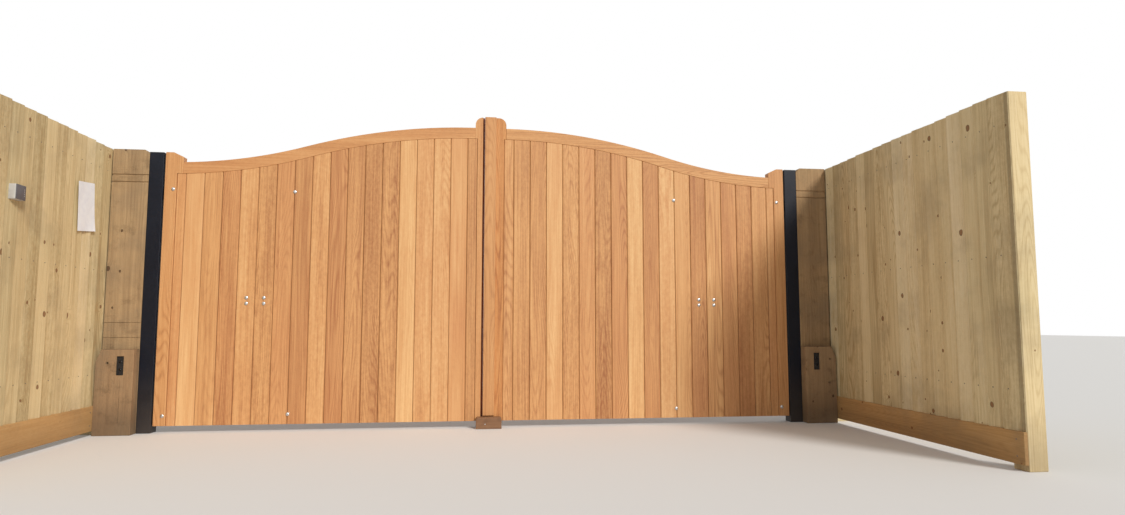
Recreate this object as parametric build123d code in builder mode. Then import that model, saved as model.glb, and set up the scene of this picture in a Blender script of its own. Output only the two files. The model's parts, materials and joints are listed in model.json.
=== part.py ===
from build123d import *

import os
from math import atan, sin, sqrt

# Double driveway gate: two arched, boarded hardwood leaves hung on steel posts,
# with timber gateposts, foot blocks and one bay of boarded wing fence on each side.
# Lengths are in millimetres. The origin is the centre of the left steel post's base,
# X runs to the right along the gate, Y is the way the leaves open, and Z is up.

# Opening and leaves
opening = 4280
ground_gap = 45
hinge_gap = 10
seam_gap = 14
seam_shift = 48
leaf_shoulder = 1712
leaf_crown = 2012
crown_run = 1136

# Frame of a leaf
frame_thickness = 60
stile_width = 112
horn_half = 107
rail_face = 77
rail_lap = 40
hinge_horn = 66
horn_flat = 49
horn_slope = 30
meeting_horn = 74
meeting_horn_radius = 52
rail_thickness = 35
upper_rail_gap = 14
upper_rail_depth = 100
middle_rail_height = 802
middle_rail_depth = 140
bottom_rail_depth = 140
brace_foot = 260

# Boards and cover strip of a leaf
board_setback = 3
hinge_lap = 37
meeting_lap = 15
strip_width = 78
strip_thickness = 20
strip_foot = 36

# Hinges
pin_radius = 8
pin_play = 0.5
pin_end = 6
strap_thickness = 8
strap_height = 50
strap_reach = 855
lower_strap_height = 63
eye_clearance = 5
seat_play = 0.3
hook_height = 30
hook_radius = 10

# Arm bracket on the back of each middle rail
bracket_inset = 595
bracket_width = 170
bracket_height = 90
bracket_thickness = 8
lug_thickness = 12
lug_width = 50
lug_hole_out = 35
lug_hole_radius = 6.5

# Steel posts
post_size = 90
post_wall = 5
post_base = 8
post_drop = 8
cap_thickness = 6
cap_bevel = 2
cap_plug_depth = 20
cap_plug_play = 0.5

# Timber gateposts, foot blocks and beam sensors
timber_width = 225
timber_depth = 100
timber_bevel = 30
timber_grooves = (1617, 1665)
groove_width = 8
groove_depth = 6
block_depth = 75
block_height = 535
block_shoulder_width = 30
block_shoulder_height = 80
mortice_inset = 81
mortice_height = 432
mortice_width = 42
mortice_tall = 118
mortice_depth = 50
sensor_play = 1
sensor_setback = 6
sensor_round = 4

# Ground stop
stop_width = 170
stop_depth = 70
stop_height = 75
stop_gap = 5
stop_round = 12

# Wing fences
fence_bay = 1830
fence_height = 1835
fence_foot = 30
fence_board = 20
gravel_depth = 155
fence_post_size = 100
fence_rail_depth = 75
fence_rail_thickness = 38
fence_rail_heights = (380, 1030, 1680)

# Call box and notice on the left fence
box_length = 83
box_tall = 79
box_out = 28
box_ahead = 993
box_height = 1366
box_round = 6
sheet_width = 210
sheet_tall = 297
sheet_thickness = 1
sheet_ahead = 302
sheet_height = 1403

# Sides of the gate
LEFT = -1
RIGHT = 1
SIDE_NAMES = {LEFT: "left", RIGHT: "right"}

# Places along X, each as a distance from the middle of the opening
middle = (opening + post_size) / 2
post_face = opening / 2
leaf_outer = post_face - hinge_gap
stile_inner = leaf_outer - stile_width
board_outer = stile_inner + hinge_lap
board_inner = horn_half - meeting_lap
seam_edge = {LEFT: seam_shift + seam_gap / 2, RIGHT: seam_gap / 2 - seam_shift}
meeting_back = {side: max(seam_edge[side] + stile_width, horn_half) for side in SIDE_NAMES}
eye_radius = pin_radius + pin_play + strap_thickness
pin_out = post_face - eye_clearance - eye_radius
timber_inner = post_face + post_size
timber_outer = timber_inner + timber_width

# Places along Y
front = -post_size / 2
back = front + frame_thickness
board_back = back - rail_thickness
board_front = front + board_setback
pin_y = back + eye_radius
timber_back = front + timber_depth
fence_post_rows = (timber_back - fence_post_size / 2, timber_back - fence_post_size / 2 - fence_bay)

# The upper rail's middle above the leaf's foot, just under the arched rail's lip
upper_rail_height = leaf_shoulder - rail_face - rail_lap - upper_rail_gap - upper_rail_depth / 2

# Heights above the ground
leaf_foot = ground_gap
shoulder = leaf_foot + leaf_shoulder
crown = leaf_foot + leaf_crown
strap_heights = (leaf_foot + lower_strap_height, leaf_foot + upper_rail_height)
post_height = shoulder + hinge_horn - post_drop

# The arch is two arcs that meet on a slope: a crown that is level at the meeting
# stile, and a hollow sweep that is level at the leaf's outer edge.
arch_run = leaf_outer - horn_half
arch_rise = crown - shoulder
arch_turn = 2 * atan(arch_rise / arch_run)
crown_radius = crown_run / sin(arch_turn)
sweep_radius = (arch_run - crown_run) / sin(arch_turn)
crown_centre = (horn_half, crown - crown_radius)
sweep_centre = (leaf_outer, shoulder + sweep_radius)


def across(side, distance):
    """X at a distance from the middle of the opening, towards a side."""
    return middle + side * distance


def span(side, near, far):
    """Low and high X between two distances from the middle."""
    return sorted((across(side, near), across(side, far)))


def face_plane(y):
    """Upright plane at y. A sketch on it is extruded towards the front."""
    return Plane.XZ.offset(-y)


def box_between(x, y, z, mode=Mode.ADD):
    """Box in the open part, from the low to the high value of each pair."""
    with Locations((sum(x) / 2, sum(y) / 2, sum(z) / 2)):
        Box(x[1] - x[0], y[1] - y[0], z[1] - z[0], mode=mode)


def arch_join(drop):
    """Distance from the middle where the two arcs meet, a drop below the top line."""
    return crown_centre[0] + (crown_radius - drop) * sin(arch_turn)


def arch_height(distance, drop):
    """Height of the arch line, a drop below the rail's top line."""
    if distance <= horn_half:
        return crown - drop
    if distance <= arch_join(drop):
        radius = crown_radius - drop
        return crown_centre[1] + sqrt(radius**2 - (distance - crown_centre[0]) ** 2)
    radius = sweep_radius + drop
    return sweep_centre[1] - sqrt(radius**2 - (sweep_centre[0] - distance) ** 2)


def arch_point(side, distance, drop):
    """Point of the arch line, on an upright plane."""
    return (across(side, distance), arch_height(distance, drop))


def arch_line(side, inner, outer, drop):
    """Crown and sweep between two distances, with a level lead-in before the crown."""
    start = max(inner, horn_half)
    join = arch_join(drop)
    if inner < horn_half:
        Line(arch_point(side, inner, drop), arch_point(side, horn_half, drop))
    for near, far in ((start, join), (join, outer)):
        stops = (near, (near + far) / 2, far)
        ThreePointArc(*[arch_point(side, stop, drop) for stop in stops])


def arch_band(side, inner, outer, top_drop, bottom_drop):
    """Outline between two lines of the arch."""
    for drop in (top_drop, bottom_drop):
        arch_line(side, inner, outer, drop)
    for distance in (inner, outer):
        Line(arch_point(side, distance, top_drop), arch_point(side, distance, bottom_drop))


def save(piece, name):
    """Label a finished piece and write its file."""
    piece.part.label = name
    export_step(piece.part, f"parts/{name}.step")


# Frame of a leaf


def hinge_stile(side):
    """Outer stile, with a sloped horn and a rebate for the boards."""
    top = shoulder + hinge_horn
    with BuildPart() as stile:
        with BuildSketch(face_plane(back)):
            with BuildLine():
                Polyline(
                    (across(side, leaf_outer), leaf_foot),
                    (across(side, leaf_outer), top),
                    (across(side, leaf_outer - horn_flat), top),
                    (across(side, stile_inner), top - horn_slope),
                    (across(side, stile_inner), leaf_foot),
                    close=True,
                )
            make_face()
        extrude(amount=frame_thickness)
        rebate_top = arch_height(stile_inner, rail_face)
        rebate_x = span(side, stile_inner, board_outer)
        box_between(rebate_x, (front, board_back), (leaf_foot, rebate_top), Mode.SUBTRACT)
    return stile


def meeting_stile(side):
    """Inner stile, with a rounded horn, a rebate for the boards and a wing behind them."""
    wing_top = arch_height(meeting_back[side], rail_face + rail_lap)
    x = span(side, seam_edge[side], horn_half)
    with BuildPart() as stile:
        with BuildSketch(face_plane(back)) as outline:
            with Locations((sum(x) / 2, (leaf_foot + crown + meeting_horn) / 2)):
                Rectangle(x[1] - x[0], crown + meeting_horn - leaf_foot)
            horn_corners = outline.vertices().group_by(Axis.Y)[-1].sort_by(Axis.X)
            horn_corner = horn_corners[0] if side == LEFT else horn_corners[-1]
            fillet(horn_corner, min(meeting_horn_radius, (x[1] - x[0]) * 0.99))
        extrude(amount=frame_thickness)
        if meeting_back[side] > horn_half:
            wing_x = span(side, horn_half, meeting_back[side])
            box_between(wing_x, (board_back, back), (leaf_foot, wing_top))
        rebate_x = span(side, board_inner, horn_half)
        rebate_z = (leaf_foot, arch_height(horn_half, rail_face))
        box_between(rebate_x, (front, board_back), rebate_z, Mode.SUBTRACT)
    return stile


def arched_rail(side):
    """Swan-neck top rail, with a lip that laps down behind the boards."""
    with BuildPart() as rail:
        with BuildSketch(face_plane(back)):
            with BuildLine():
                arch_band(side, horn_half, stile_inner, 0, rail_face)
            make_face()
        extrude(amount=frame_thickness)
        with BuildSketch(face_plane(back)):
            with BuildLine():
                arch_band(side, horn_half, stile_inner, rail_face, rail_face + rail_lap)
            make_face()
        extrude(amount=rail_thickness)
    return rail


def straight_rail(side, low, high):
    """Level rail behind the boards, from stile to stile."""
    with BuildPart() as rail:
        rail_x = span(side, meeting_back[side], stile_inner)
        box_between(rail_x, (board_back, back), (leaf_foot + low, leaf_foot + high))
    return rail


def braces(side, panels):
    """Two diagonals, each rising from its foot at the hinge stile."""
    with BuildPart() as pair:
        with BuildSketch(face_plane(back)):
            for low, high in panels:
                with BuildLine():
                    Polyline(
                        (across(side, stile_inner), leaf_foot + low),
                        (across(side, stile_inner - brace_foot), leaf_foot + low),
                        (across(side, meeting_back[side]), leaf_foot + high),
                        (across(side, meeting_back[side] + brace_foot), leaf_foot + high),
                        close=True,
                    )
                make_face()
        extrude(amount=rail_thickness)
    return pair


def boards(side):
    """Boarding of a leaf, one panel whose top follows the rail."""
    with BuildPart() as panel:
        with BuildSketch(face_plane(board_back)):
            with BuildLine():
                arch_line(side, board_inner, board_outer, rail_face)
                Polyline(
                    arch_point(side, board_inner, rail_face),
                    (across(side, board_inner), leaf_foot),
                    (across(side, board_outer), leaf_foot),
                    arch_point(side, board_outer, rail_face),
                )
            make_face()
        extrude(amount=board_back - board_front)
    return panel


def cover_strip():
    """Flat strip on the front of the right meeting stile, along the seam."""
    strip_x = span(RIGHT, seam_edge[RIGHT], seam_edge[RIGHT] + strip_width)
    strip_z = (leaf_foot + strip_foot, crown + meeting_horn)
    with BuildPart() as strip:
        box_between(strip_x, (front - strip_thickness, front), strip_z)
    return strip


# Hinges


def hinge_straps(side):
    """Upper and lower strap, each with a rolled eye around its pin."""
    with BuildPart() as straps:
        for height in strap_heights:
            low = height - strap_height / 2
            strap_x = span(side, pin_out - strap_reach, pin_out)
            strap_y = (back, back + strap_thickness)
            box_between(strap_x, strap_y, (low, low + strap_height))
            with BuildSketch(Plane.XY.offset(low)):
                with Locations((across(side, pin_out), pin_y)):
                    Circle(eye_radius)
            extrude(amount=strap_height)
            with BuildSketch(Plane.XY.offset(low)):
                with Locations((across(side, pin_out), pin_y)):
                    Circle(pin_radius + pin_play)
            extrude(amount=strap_height, mode=Mode.SUBTRACT)
    return straps


def hinge_hooks(side):
    """Two hooks welded to the inner face of the steel post, each with its pin."""
    with BuildPart() as hooks:
        for height in strap_heights:
            seat = height - strap_height / 2 - seat_play
            hook_x = span(side, pin_out, post_face)
            hook_y = (pin_y - hook_radius, post_size / 2)
            box_between(hook_x, hook_y, (seat - hook_height, seat))
            for radius, low, high in (
                (hook_radius, seat - hook_height, seat),
                (pin_radius, seat, seat + seat_play + strap_height + pin_end),
            ):
                with BuildSketch(Plane.XY.offset(low)):
                    with Locations((across(side, pin_out), pin_y)):
                        Circle(radius)
                extrude(amount=high - low)
    return hooks


def arm_bracket(side):
    """Plate on the back of the middle rail, with a drilled lug for an arm's pin."""
    centre_x = across(side, leaf_outer - bracket_inset)
    centre_z = leaf_foot + middle_rail_height
    plate_back = back + bracket_thickness
    plate_x = (centre_x - bracket_width / 2, centre_x + bracket_width / 2)
    plate_z = (centre_z - bracket_height / 2, centre_z + bracket_height / 2)
    with BuildPart() as bracket:
        box_between(plate_x, (back, plate_back), plate_z)
        with BuildSketch(Plane.XY.offset(centre_z - lug_thickness / 2)):
            with Locations((centre_x, plate_back + lug_hole_out / 2)):
                Rectangle(lug_width, lug_hole_out)
            with Locations((centre_x, plate_back + lug_hole_out)):
                Circle(lug_width / 2)
                Circle(lug_hole_radius, mode=Mode.SUBTRACT)
        extrude(amount=lug_thickness)
    return bracket


# Posts


def steel_post(side):
    """Square steel tube, closed by a plate at its base."""
    post_x = span(side, post_face, post_face + post_size)
    core_x = (post_x[0] + post_wall, post_x[1] - post_wall)
    core_y = (front + post_wall, front + post_size - post_wall)
    with BuildPart() as post:
        box_between(post_x, (front, front + post_size), (0, post_height))
        box_between(core_x, core_y, (post_base, post_height), Mode.SUBTRACT)
    return post


def post_cap(side):
    """Flat cap with a bevelled top and a plug inside the tube."""
    centre = (across(side, post_face + post_size / 2), front + post_size / 2)
    plug = post_size - 2 * (post_wall + cap_plug_play)
    with BuildPart() as cap:
        with BuildSketch(Plane.XY.offset(post_height)):
            with Locations(centre):
                Rectangle(post_size, post_size)
        extrude(amount=cap_thickness)
        chamfer(cap.faces().sort_by(Axis.Z)[-1].edges(), cap_bevel)
        with BuildSketch(Plane.XY.offset(post_height)):
            with Locations(centre):
                Rectangle(plug, plug)
        extrude(amount=-cap_plug_depth)
    return cap


def timber_post(side):
    """Thick softwood post, with a bevelled corner and two saw cuts across its face."""
    post_x = span(side, timber_inner, timber_outer)
    with BuildPart() as post:
        box_between(post_x, (front, timber_back), (0, fence_height))
        top_edges = post.faces().sort_by(Axis.Z)[-1].edges().filter_by(Axis.Y).sort_by(Axis.X)
        chamfer(top_edges[-1] if side == LEFT else top_edges[0], timber_bevel)
        for height in timber_grooves:
            groove_z = (height - groove_width / 2, height + groove_width / 2)
            box_between(post_x, (front, front + groove_depth), groove_z, Mode.SUBTRACT)
    return post


def foot_block(side):
    """Short block in front of the timber post, with a mortice for the sensor."""
    slot_x = span(
        side,
        timber_inner + mortice_inset - mortice_width / 2,
        timber_inner + mortice_inset + mortice_width / 2,
    )
    slot_y = (front - block_depth, front - block_depth + mortice_depth)
    slot_z = (mortice_height - mortice_tall / 2, mortice_height + mortice_tall / 2)
    with BuildPart() as block:
        with BuildSketch(face_plane(front)):
            with BuildLine():
                Polyline(
                    (across(side, timber_inner), 0),
                    (across(side, timber_outer), 0),
                    (across(side, timber_outer), block_height - block_shoulder_height),
                    (across(side, timber_outer - block_shoulder_width), block_height),
                    (across(side, timber_inner), block_height),
                    close=True,
                )
            make_face()
        extrude(amount=block_depth)
        box_between(slot_x, slot_y, slot_z, Mode.SUBTRACT)
    return block


def beam_sensor(side):
    """Housing that stands on the floor of the mortice, against its back."""
    width = mortice_width - 2 * sensor_play
    tall = mortice_tall - sensor_play
    centre = (across(side, timber_inner + mortice_inset), mortice_height - sensor_play / 2)
    with BuildPart() as sensor:
        with BuildSketch(face_plane(front - block_depth + mortice_depth)):
            with Locations(centre):
                RectangleRounded(width, tall, sensor_round)
        extrude(amount=mortice_depth - sensor_setback)
    return sensor


def ground_stop():
    """Block on the ground in front of the seam, which the closed leaves meet."""
    stop_y = (front - stop_gap - stop_depth, front - stop_gap)
    with BuildPart() as stop:
        box_between(span(RIGHT, -stop_width / 2, stop_width / 2), stop_y, (0, stop_height))
        top_edges = stop.faces().sort_by(Axis.Z)[-1].edges().filter_by(Axis.Y)
        fillet(top_edges, stop_round)
    return stop


# Wing fences


def fence_sheet(side, low, high):
    """Boarding or gravel board of a fence, one flat piece along the whole bay."""
    with BuildPart() as sheet:
        sheet_x = span(side, timber_outer, timber_outer + fence_board)
        sheet_y = (fence_post_rows[1] - fence_post_size / 2, timber_back)
        box_between(sheet_x, sheet_y, (low, high))
    return sheet


def fence_posts(side):
    """Post behind each end of the bay."""
    post_x = span(side, timber_outer + fence_board, timber_outer + fence_board + fence_post_size)
    with BuildPart() as posts:
        for row in fence_post_rows:
            post_y = (row - fence_post_size / 2, row + fence_post_size / 2)
            box_between(post_x, post_y, (0, fence_height))
    return posts


def fence_rails(side):
    """Three rails behind the boards, from post to post."""
    rail_x = span(side, timber_outer + fence_board, timber_outer + fence_board + fence_rail_thickness)
    rail_y = (fence_post_rows[1] + fence_post_size / 2, fence_post_rows[0] - fence_post_size / 2)
    with BuildPart() as rails:
        for height in fence_rail_heights:
            rail_z = (height - fence_rail_depth / 2, height + fence_rail_depth / 2)
            box_between(rail_x, rail_y, rail_z)
    return rails


def call_box():
    """Small weatherproof box on the left fence."""
    box_x = span(LEFT, timber_outer - box_out, timber_outer)
    centre_y = front - box_ahead
    with BuildPart() as box:
        box_between(
            box_x,
            (centre_y - box_length / 2, centre_y + box_length / 2),
            (box_height - box_tall / 2, box_height + box_tall / 2),
        )
        fillet(box.faces().sort_by(Axis.X)[-1].edges(), box_round)
    return box


def notice_sheet():
    """Sheet of paper fixed flat to the left fence."""
    sheet_x = span(LEFT, timber_outer - sheet_thickness, timber_outer)
    centre_y = front - sheet_ahead
    with BuildPart() as sheet:
        box_between(
            sheet_x,
            (centre_y - sheet_width / 2, centre_y + sheet_width / 2),
            (sheet_height - sheet_tall / 2, sheet_height + sheet_tall / 2),
        )
    return sheet


os.makedirs("parts", exist_ok=True)

bottom_rail_span = (0, bottom_rail_depth)
middle_rail_span = (
    middle_rail_height - middle_rail_depth / 2,
    middle_rail_height + middle_rail_depth / 2,
)
upper_rail_span = (
    upper_rail_height - upper_rail_depth / 2,
    upper_rail_height + upper_rail_depth / 2,
)
brace_panels = (
    (bottom_rail_span[1], middle_rail_span[0]),
    (middle_rail_span[1], upper_rail_span[0]),
)
gravel_top = fence_foot + gravel_depth

for side, name in SIDE_NAMES.items():
    save(hinge_stile(side), f"{name}_hinge_stile")
    save(meeting_stile(side), f"{name}_meeting_stile")
    save(arched_rail(side), f"{name}_arched_rail")
    save(straight_rail(side, *upper_rail_span), f"{name}_upper_rail")
    save(straight_rail(side, *middle_rail_span), f"{name}_middle_rail")
    save(straight_rail(side, *bottom_rail_span), f"{name}_bottom_rail")
    save(braces(side, brace_panels), f"{name}_braces")
    save(boards(side), f"{name}_boards")
    save(hinge_straps(side), f"{name}_hinge_straps")
    save(arm_bracket(side), f"{name}_arm_bracket")
    save(steel_post(side), f"{name}_steel_post")
    save(post_cap(side), f"{name}_post_cap")
    save(hinge_hooks(side), f"{name}_hinge_hooks")
    save(timber_post(side), f"{name}_timber_post")
    save(foot_block(side), f"{name}_foot_block")
    save(beam_sensor(side), f"{name}_beam_sensor")
    save(fence_sheet(side, gravel_top, fence_height), f"{name}_fence_panel")
    save(fence_sheet(side, fence_foot, gravel_top), f"{name}_gravel_board")
    save(fence_posts(side), f"{name}_fence_posts")
    save(fence_rails(side), f"{name}_fence_rails")
save(cover_strip(), "right_cover_strip")
save(ground_stop(), "ground_stop")
save(call_box(), "call_box")
save(notice_sheet(), "notice_sheet")
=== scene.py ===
"""Looks of an arched double driveway gate with boarded wing fences.

Lengths are in metres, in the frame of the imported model: the origin is the centre of the
left steel post's base, X runs to the right along the gate, Y is the way the leaves open,
and Z is up.
"""

from __future__ import annotations

import json
import logging
import math
import random
from dataclasses import dataclass, replace
from enum import Enum
from typing import Any, Callable, Iterable, Mapping, Sequence, Union

import bmesh
import bpy
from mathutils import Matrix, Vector

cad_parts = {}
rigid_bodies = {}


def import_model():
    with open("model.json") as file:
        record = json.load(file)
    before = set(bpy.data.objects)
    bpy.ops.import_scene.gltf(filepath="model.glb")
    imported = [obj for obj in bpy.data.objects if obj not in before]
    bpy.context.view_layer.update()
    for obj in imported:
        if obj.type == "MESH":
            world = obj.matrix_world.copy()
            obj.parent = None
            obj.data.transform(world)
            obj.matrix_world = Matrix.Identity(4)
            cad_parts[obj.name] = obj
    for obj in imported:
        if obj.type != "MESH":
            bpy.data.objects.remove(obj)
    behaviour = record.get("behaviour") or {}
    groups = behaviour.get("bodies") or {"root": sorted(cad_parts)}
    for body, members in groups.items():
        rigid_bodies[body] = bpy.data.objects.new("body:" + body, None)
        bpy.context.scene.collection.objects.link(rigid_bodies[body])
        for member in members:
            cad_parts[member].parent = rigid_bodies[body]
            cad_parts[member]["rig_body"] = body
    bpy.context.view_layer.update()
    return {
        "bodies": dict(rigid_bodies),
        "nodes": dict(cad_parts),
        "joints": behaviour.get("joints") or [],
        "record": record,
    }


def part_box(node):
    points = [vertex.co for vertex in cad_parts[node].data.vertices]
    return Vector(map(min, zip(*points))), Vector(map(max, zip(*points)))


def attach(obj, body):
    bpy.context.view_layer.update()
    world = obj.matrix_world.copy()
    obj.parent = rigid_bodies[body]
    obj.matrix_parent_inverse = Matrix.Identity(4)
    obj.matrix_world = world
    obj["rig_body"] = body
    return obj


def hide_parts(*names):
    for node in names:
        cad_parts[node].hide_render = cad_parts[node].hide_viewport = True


LOG = logging.getLogger("gate")

Colour = tuple[float, float, float]
Point = tuple[float, float, float]
Pair = tuple[float, float]
Corners = tuple[Vector, Vector]
MM = 0.001
PHOTO_WIDTH = 1125
FIXED_BODY = "posts_and_fences"
BRACE_TURN = math.radians(20)


def colour(red: int, green: int, blue: int) -> Colour:
    """Turn screen values from 0 to 255 into linear light.

    Args:
        red: Red on the screen.
        green: Green on the screen.
        blue: Blue on the screen.

    Returns:
        The same colour as a shader takes it.
    """
    return tuple((value / 255) ** 2.2 for value in (red, green, blue))


class Side(Enum):
    """Side of the opening, as seen from the drive."""

    LEFT = -1
    RIGHT = 1

    @property
    def label(self) -> str:
        """Start of the names of this side's nodes."""
        return self.name.lower()

    @property
    def leaf(self) -> str:
        """Name of the body that is this side's leaf."""
        return f"{self.label}_leaf"


# Nodes


class Wire:
    """Output socket whose operators add Math nodes to its tree."""

    def __init__(self, bench: Bench, socket: bpy.types.NodeSocket) -> None:
        """Wrap a socket of the bench's tree."""
        self.bench = bench
        self.socket = socket

    def __add__(self, other: Scalar) -> Wire:
        """Sum."""
        return self.bench.sum("ADD", self, other)

    def __radd__(self, other: Scalar) -> Wire:
        """Sum with a number on the left."""
        return self.bench.sum("ADD", other, self)

    def __sub__(self, other: Scalar) -> Wire:
        """Difference."""
        return self.bench.sum("SUBTRACT", self, other)

    def __rsub__(self, other: Scalar) -> Wire:
        """Difference with a number on the left."""
        return self.bench.sum("SUBTRACT", other, self)

    def __mul__(self, other: Scalar) -> Wire:
        """Product."""
        return self.bench.sum("MULTIPLY", self, other)

    def __rmul__(self, other: Scalar) -> Wire:
        """Product with a number on the left."""
        return self.bench.sum("MULTIPLY", other, self)

    def __truediv__(self, other: Scalar) -> Wire:
        """Quotient."""
        return self.bench.sum("DIVIDE", self, other)

    def __pow__(self, other: Scalar) -> Wire:
        """Power."""
        return self.bench.sum("POWER", self, other)

    def __gt__(self, other: Scalar) -> Wire:
        """One where this is the greater, else nought."""
        return self.bench.sum("GREATER_THAN", self, other)

    def __lt__(self, other: Scalar) -> Wire:
        """One where this is the less, else nought."""
        return self.bench.sum("LESS_THAN", self, other)

    def __abs__(self) -> Wire:
        """Size without its sign."""
        return self.bench.sum("ABSOLUTE", self)

    def floor(self) -> Wire:
        """Whole number below."""
        return self.bench.sum("FLOOR", self)

    def fraction(self) -> Wire:
        """What is over the whole number below."""
        return self.bench.sum("FRACT", self)

    def sine(self) -> Wire:
        """Sine of an angle in radians."""
        return self.bench.sum("SINE", self)

    def root(self) -> Wire:
        """Square root, nought below nought."""
        return self.bench.sum("SQRT", self)

    def sign(self) -> Wire:
        """Minus one, nought or one."""
        return self.bench.sum("SIGN", self)

    def least(self, other: Scalar) -> Wire:
        """The lesser of two."""
        return self.bench.sum("MINIMUM", self, other)

    def most(self, other: Scalar) -> Wire:
        """The greater of two."""
        return self.bench.sum("MAXIMUM", self, other)

    def rise(self, low: float, high: float) -> Wire:
        """Smooth step.

        Args:
            low: Value at which the step starts from nought.
            high: Value at which it reaches one.

        Returns:
            A value from nought to one.
        """
        settings = {"interpolation_type": "SMOOTHSTEP"}
        inputs = {"Value": self, "From Min": low, "From Max": high}
        return self.bench.node("ShaderNodeMapRange", settings, inputs)["Result"]


Scalar = Union[float, Wire]


class Made:
    """A node that has been made, whose outputs are read by name or number."""

    def __init__(self, bench: Bench, node: bpy.types.Node) -> None:
        """Keep the node with the bench that it stands on."""
        self.bench = bench
        self.node = node

    def __getitem__(self, key: Union[str, int]) -> Wire:
        """Output socket as a wire."""
        return Wire(self.bench, self.bench.find(self.node.outputs, key))


class Bench:
    """Node tree with one way to add a node."""

    def __init__(self, tree: bpy.types.NodeTree) -> None:
        """Work on a tree."""
        self.tree = tree

    @staticmethod
    def find(sockets: Iterable[bpy.types.NodeSocket], key: Union[str, int]) -> bpy.types.NodeSocket:
        """Pick a socket.

        Args:
            sockets: Inputs or outputs of a node.
            key: Its number, its identifier or its name among those in use.

        Returns:
            The socket.
        """
        if isinstance(key, int):
            return sockets[key]
        exact = [socket for socket in sockets if socket.identifier == key]
        return exact[0] if exact else [s for s in sockets if s.name == key and s.enabled][0]

    def node(
        self,
        kind: str,
        settings: Mapping[str, Any] | None = None,
        inputs: Mapping[Union[str, int], Any] | None = None,
    ) -> Made:
        """Add a node.

        Args:
            kind: Its type.
            settings: Its properties, and the stops of a ramp under "stops".
            inputs: Values or wires for its input sockets.

        Returns:
            The node, whose outputs are wires.
        """
        node = self.tree.nodes.new(kind)
        for name, value in (settings or {}).items():
            if name == "stops":
                self.set_stops(node.color_ramp, value)
            else:
                setattr(node, name, value)
        for key, value in (inputs or {}).items():
            self.feed(self.find(node.inputs, key), value)
        return Made(self, node)

    def feed(self, socket: bpy.types.NodeSocket, value: Any) -> None:
        """Fill an input socket.

        Args:
            socket: The socket.
            value: Wire to link to it, or the value or colour that it is set to.
        """
        if isinstance(value, Wire):
            self.tree.links.new(value.socket, socket)
        elif socket.type == "RGBA":
            socket.default_value = (*value, 1)
        else:
            socket.default_value = value

    @staticmethod
    def set_stops(ramp: bpy.types.ColorRamp, stops: Sequence[tuple[float, Colour]]) -> None:
        """Give a colour ramp its stops.

        Args:
            ramp: The ramp.
            stops: Place and colour of each stop, in order.
        """
        while len(ramp.elements) < len(stops):
            ramp.elements.new(1)
        for element, (place, shade) in zip(ramp.elements, stops):
            element.position = place
            element.color = (*shade, 1)

    def sum(self, operation: str, *values: Scalar) -> Wire:
        """Result of a Math node with these operands."""
        return self.node("ShaderNodeMath", {"operation": operation}, dict(enumerate(values)))[0]

    def vector(self, x: Scalar, y: Scalar, z: Scalar) -> Wire:
        """Vector from three values."""
        return self.node("ShaderNodeCombineXYZ", None, {0: x, 1: y, 2: z})[0]

    def split(self, vector: Wire) -> tuple[Wire, Wire, Wire]:
        """The three values of a vector."""
        parts = self.node("ShaderNodeSeparateXYZ", None, {0: vector})
        return parts[0], parts[1], parts[2]


class Surface(Bench):
    """Material with a Principled shader, and the patterns that finishes share."""

    def __init__(self, name: str) -> None:
        """Make the material.

        Args:
            name: Name of the material.
        """
        self.material = bpy.data.materials.new(name)
        self.material.use_nodes = True
        super().__init__(self.material.node_tree)
        self.shader = self.tree.nodes["Principled BSDF"]
        self.place = self.node("ShaderNodeTexCoord")

    def coat(self, **inputs: Any) -> bpy.types.Material:
        """Set the shader's sockets.

        Args:
            **inputs: Values or wires, by socket name with underscores for spaces.

        Returns:
            The finished material.
        """
        for name, value in inputs.items():
            self.feed(self.shader.inputs[name.replace("_", " ")], value)
        return self.material

    def attribute(self, name: str) -> Wire:
        """Value that a mesh carries under a name."""
        return self.node("ShaderNodeAttribute", {"attribute_name": name})["Fac"]

    def noise(self, vector: Wire, scale: float = 1, detail: float = 2, rough: float = 0.5) -> Wire:
        """Noise about one half.

        Args:
            vector: Where it is read.
            scale: Waves in a metre.
            detail: Finer layers.
            rough: Weight of the finer layers.

        Returns:
            A value from nought to one.
        """
        inputs = {"Vector": vector, "Scale": scale, "Detail": detail, "Roughness": rough}
        return self.node("ShaderNodeTexNoise", None, inputs)[0]

    def blend(self, share: Scalar, first: Any, second: Any) -> Wire:
        """Mix of two colours, where a share of one gives the second."""
        inputs = {"Factor_Float": share, "A_Color": first, "B_Color": second}
        return self.node("ShaderNodeMix", {"data_type": "RGBA"}, inputs)["Result_Color"]

    def relief(self, height: Wire, depth: float, strength: float = 1) -> Wire:
        """Bump.

        Args:
            height: Pattern from nought to one.
            depth: Height in metres of a full step.
            strength: Share of it that shows.

        Returns:
            The normal for a shader.
        """
        inputs = {"Height": height, "Distance": depth, "Strength": strength}
        return self.node("ShaderNodeBump", None, inputs)["Normal"]


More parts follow.
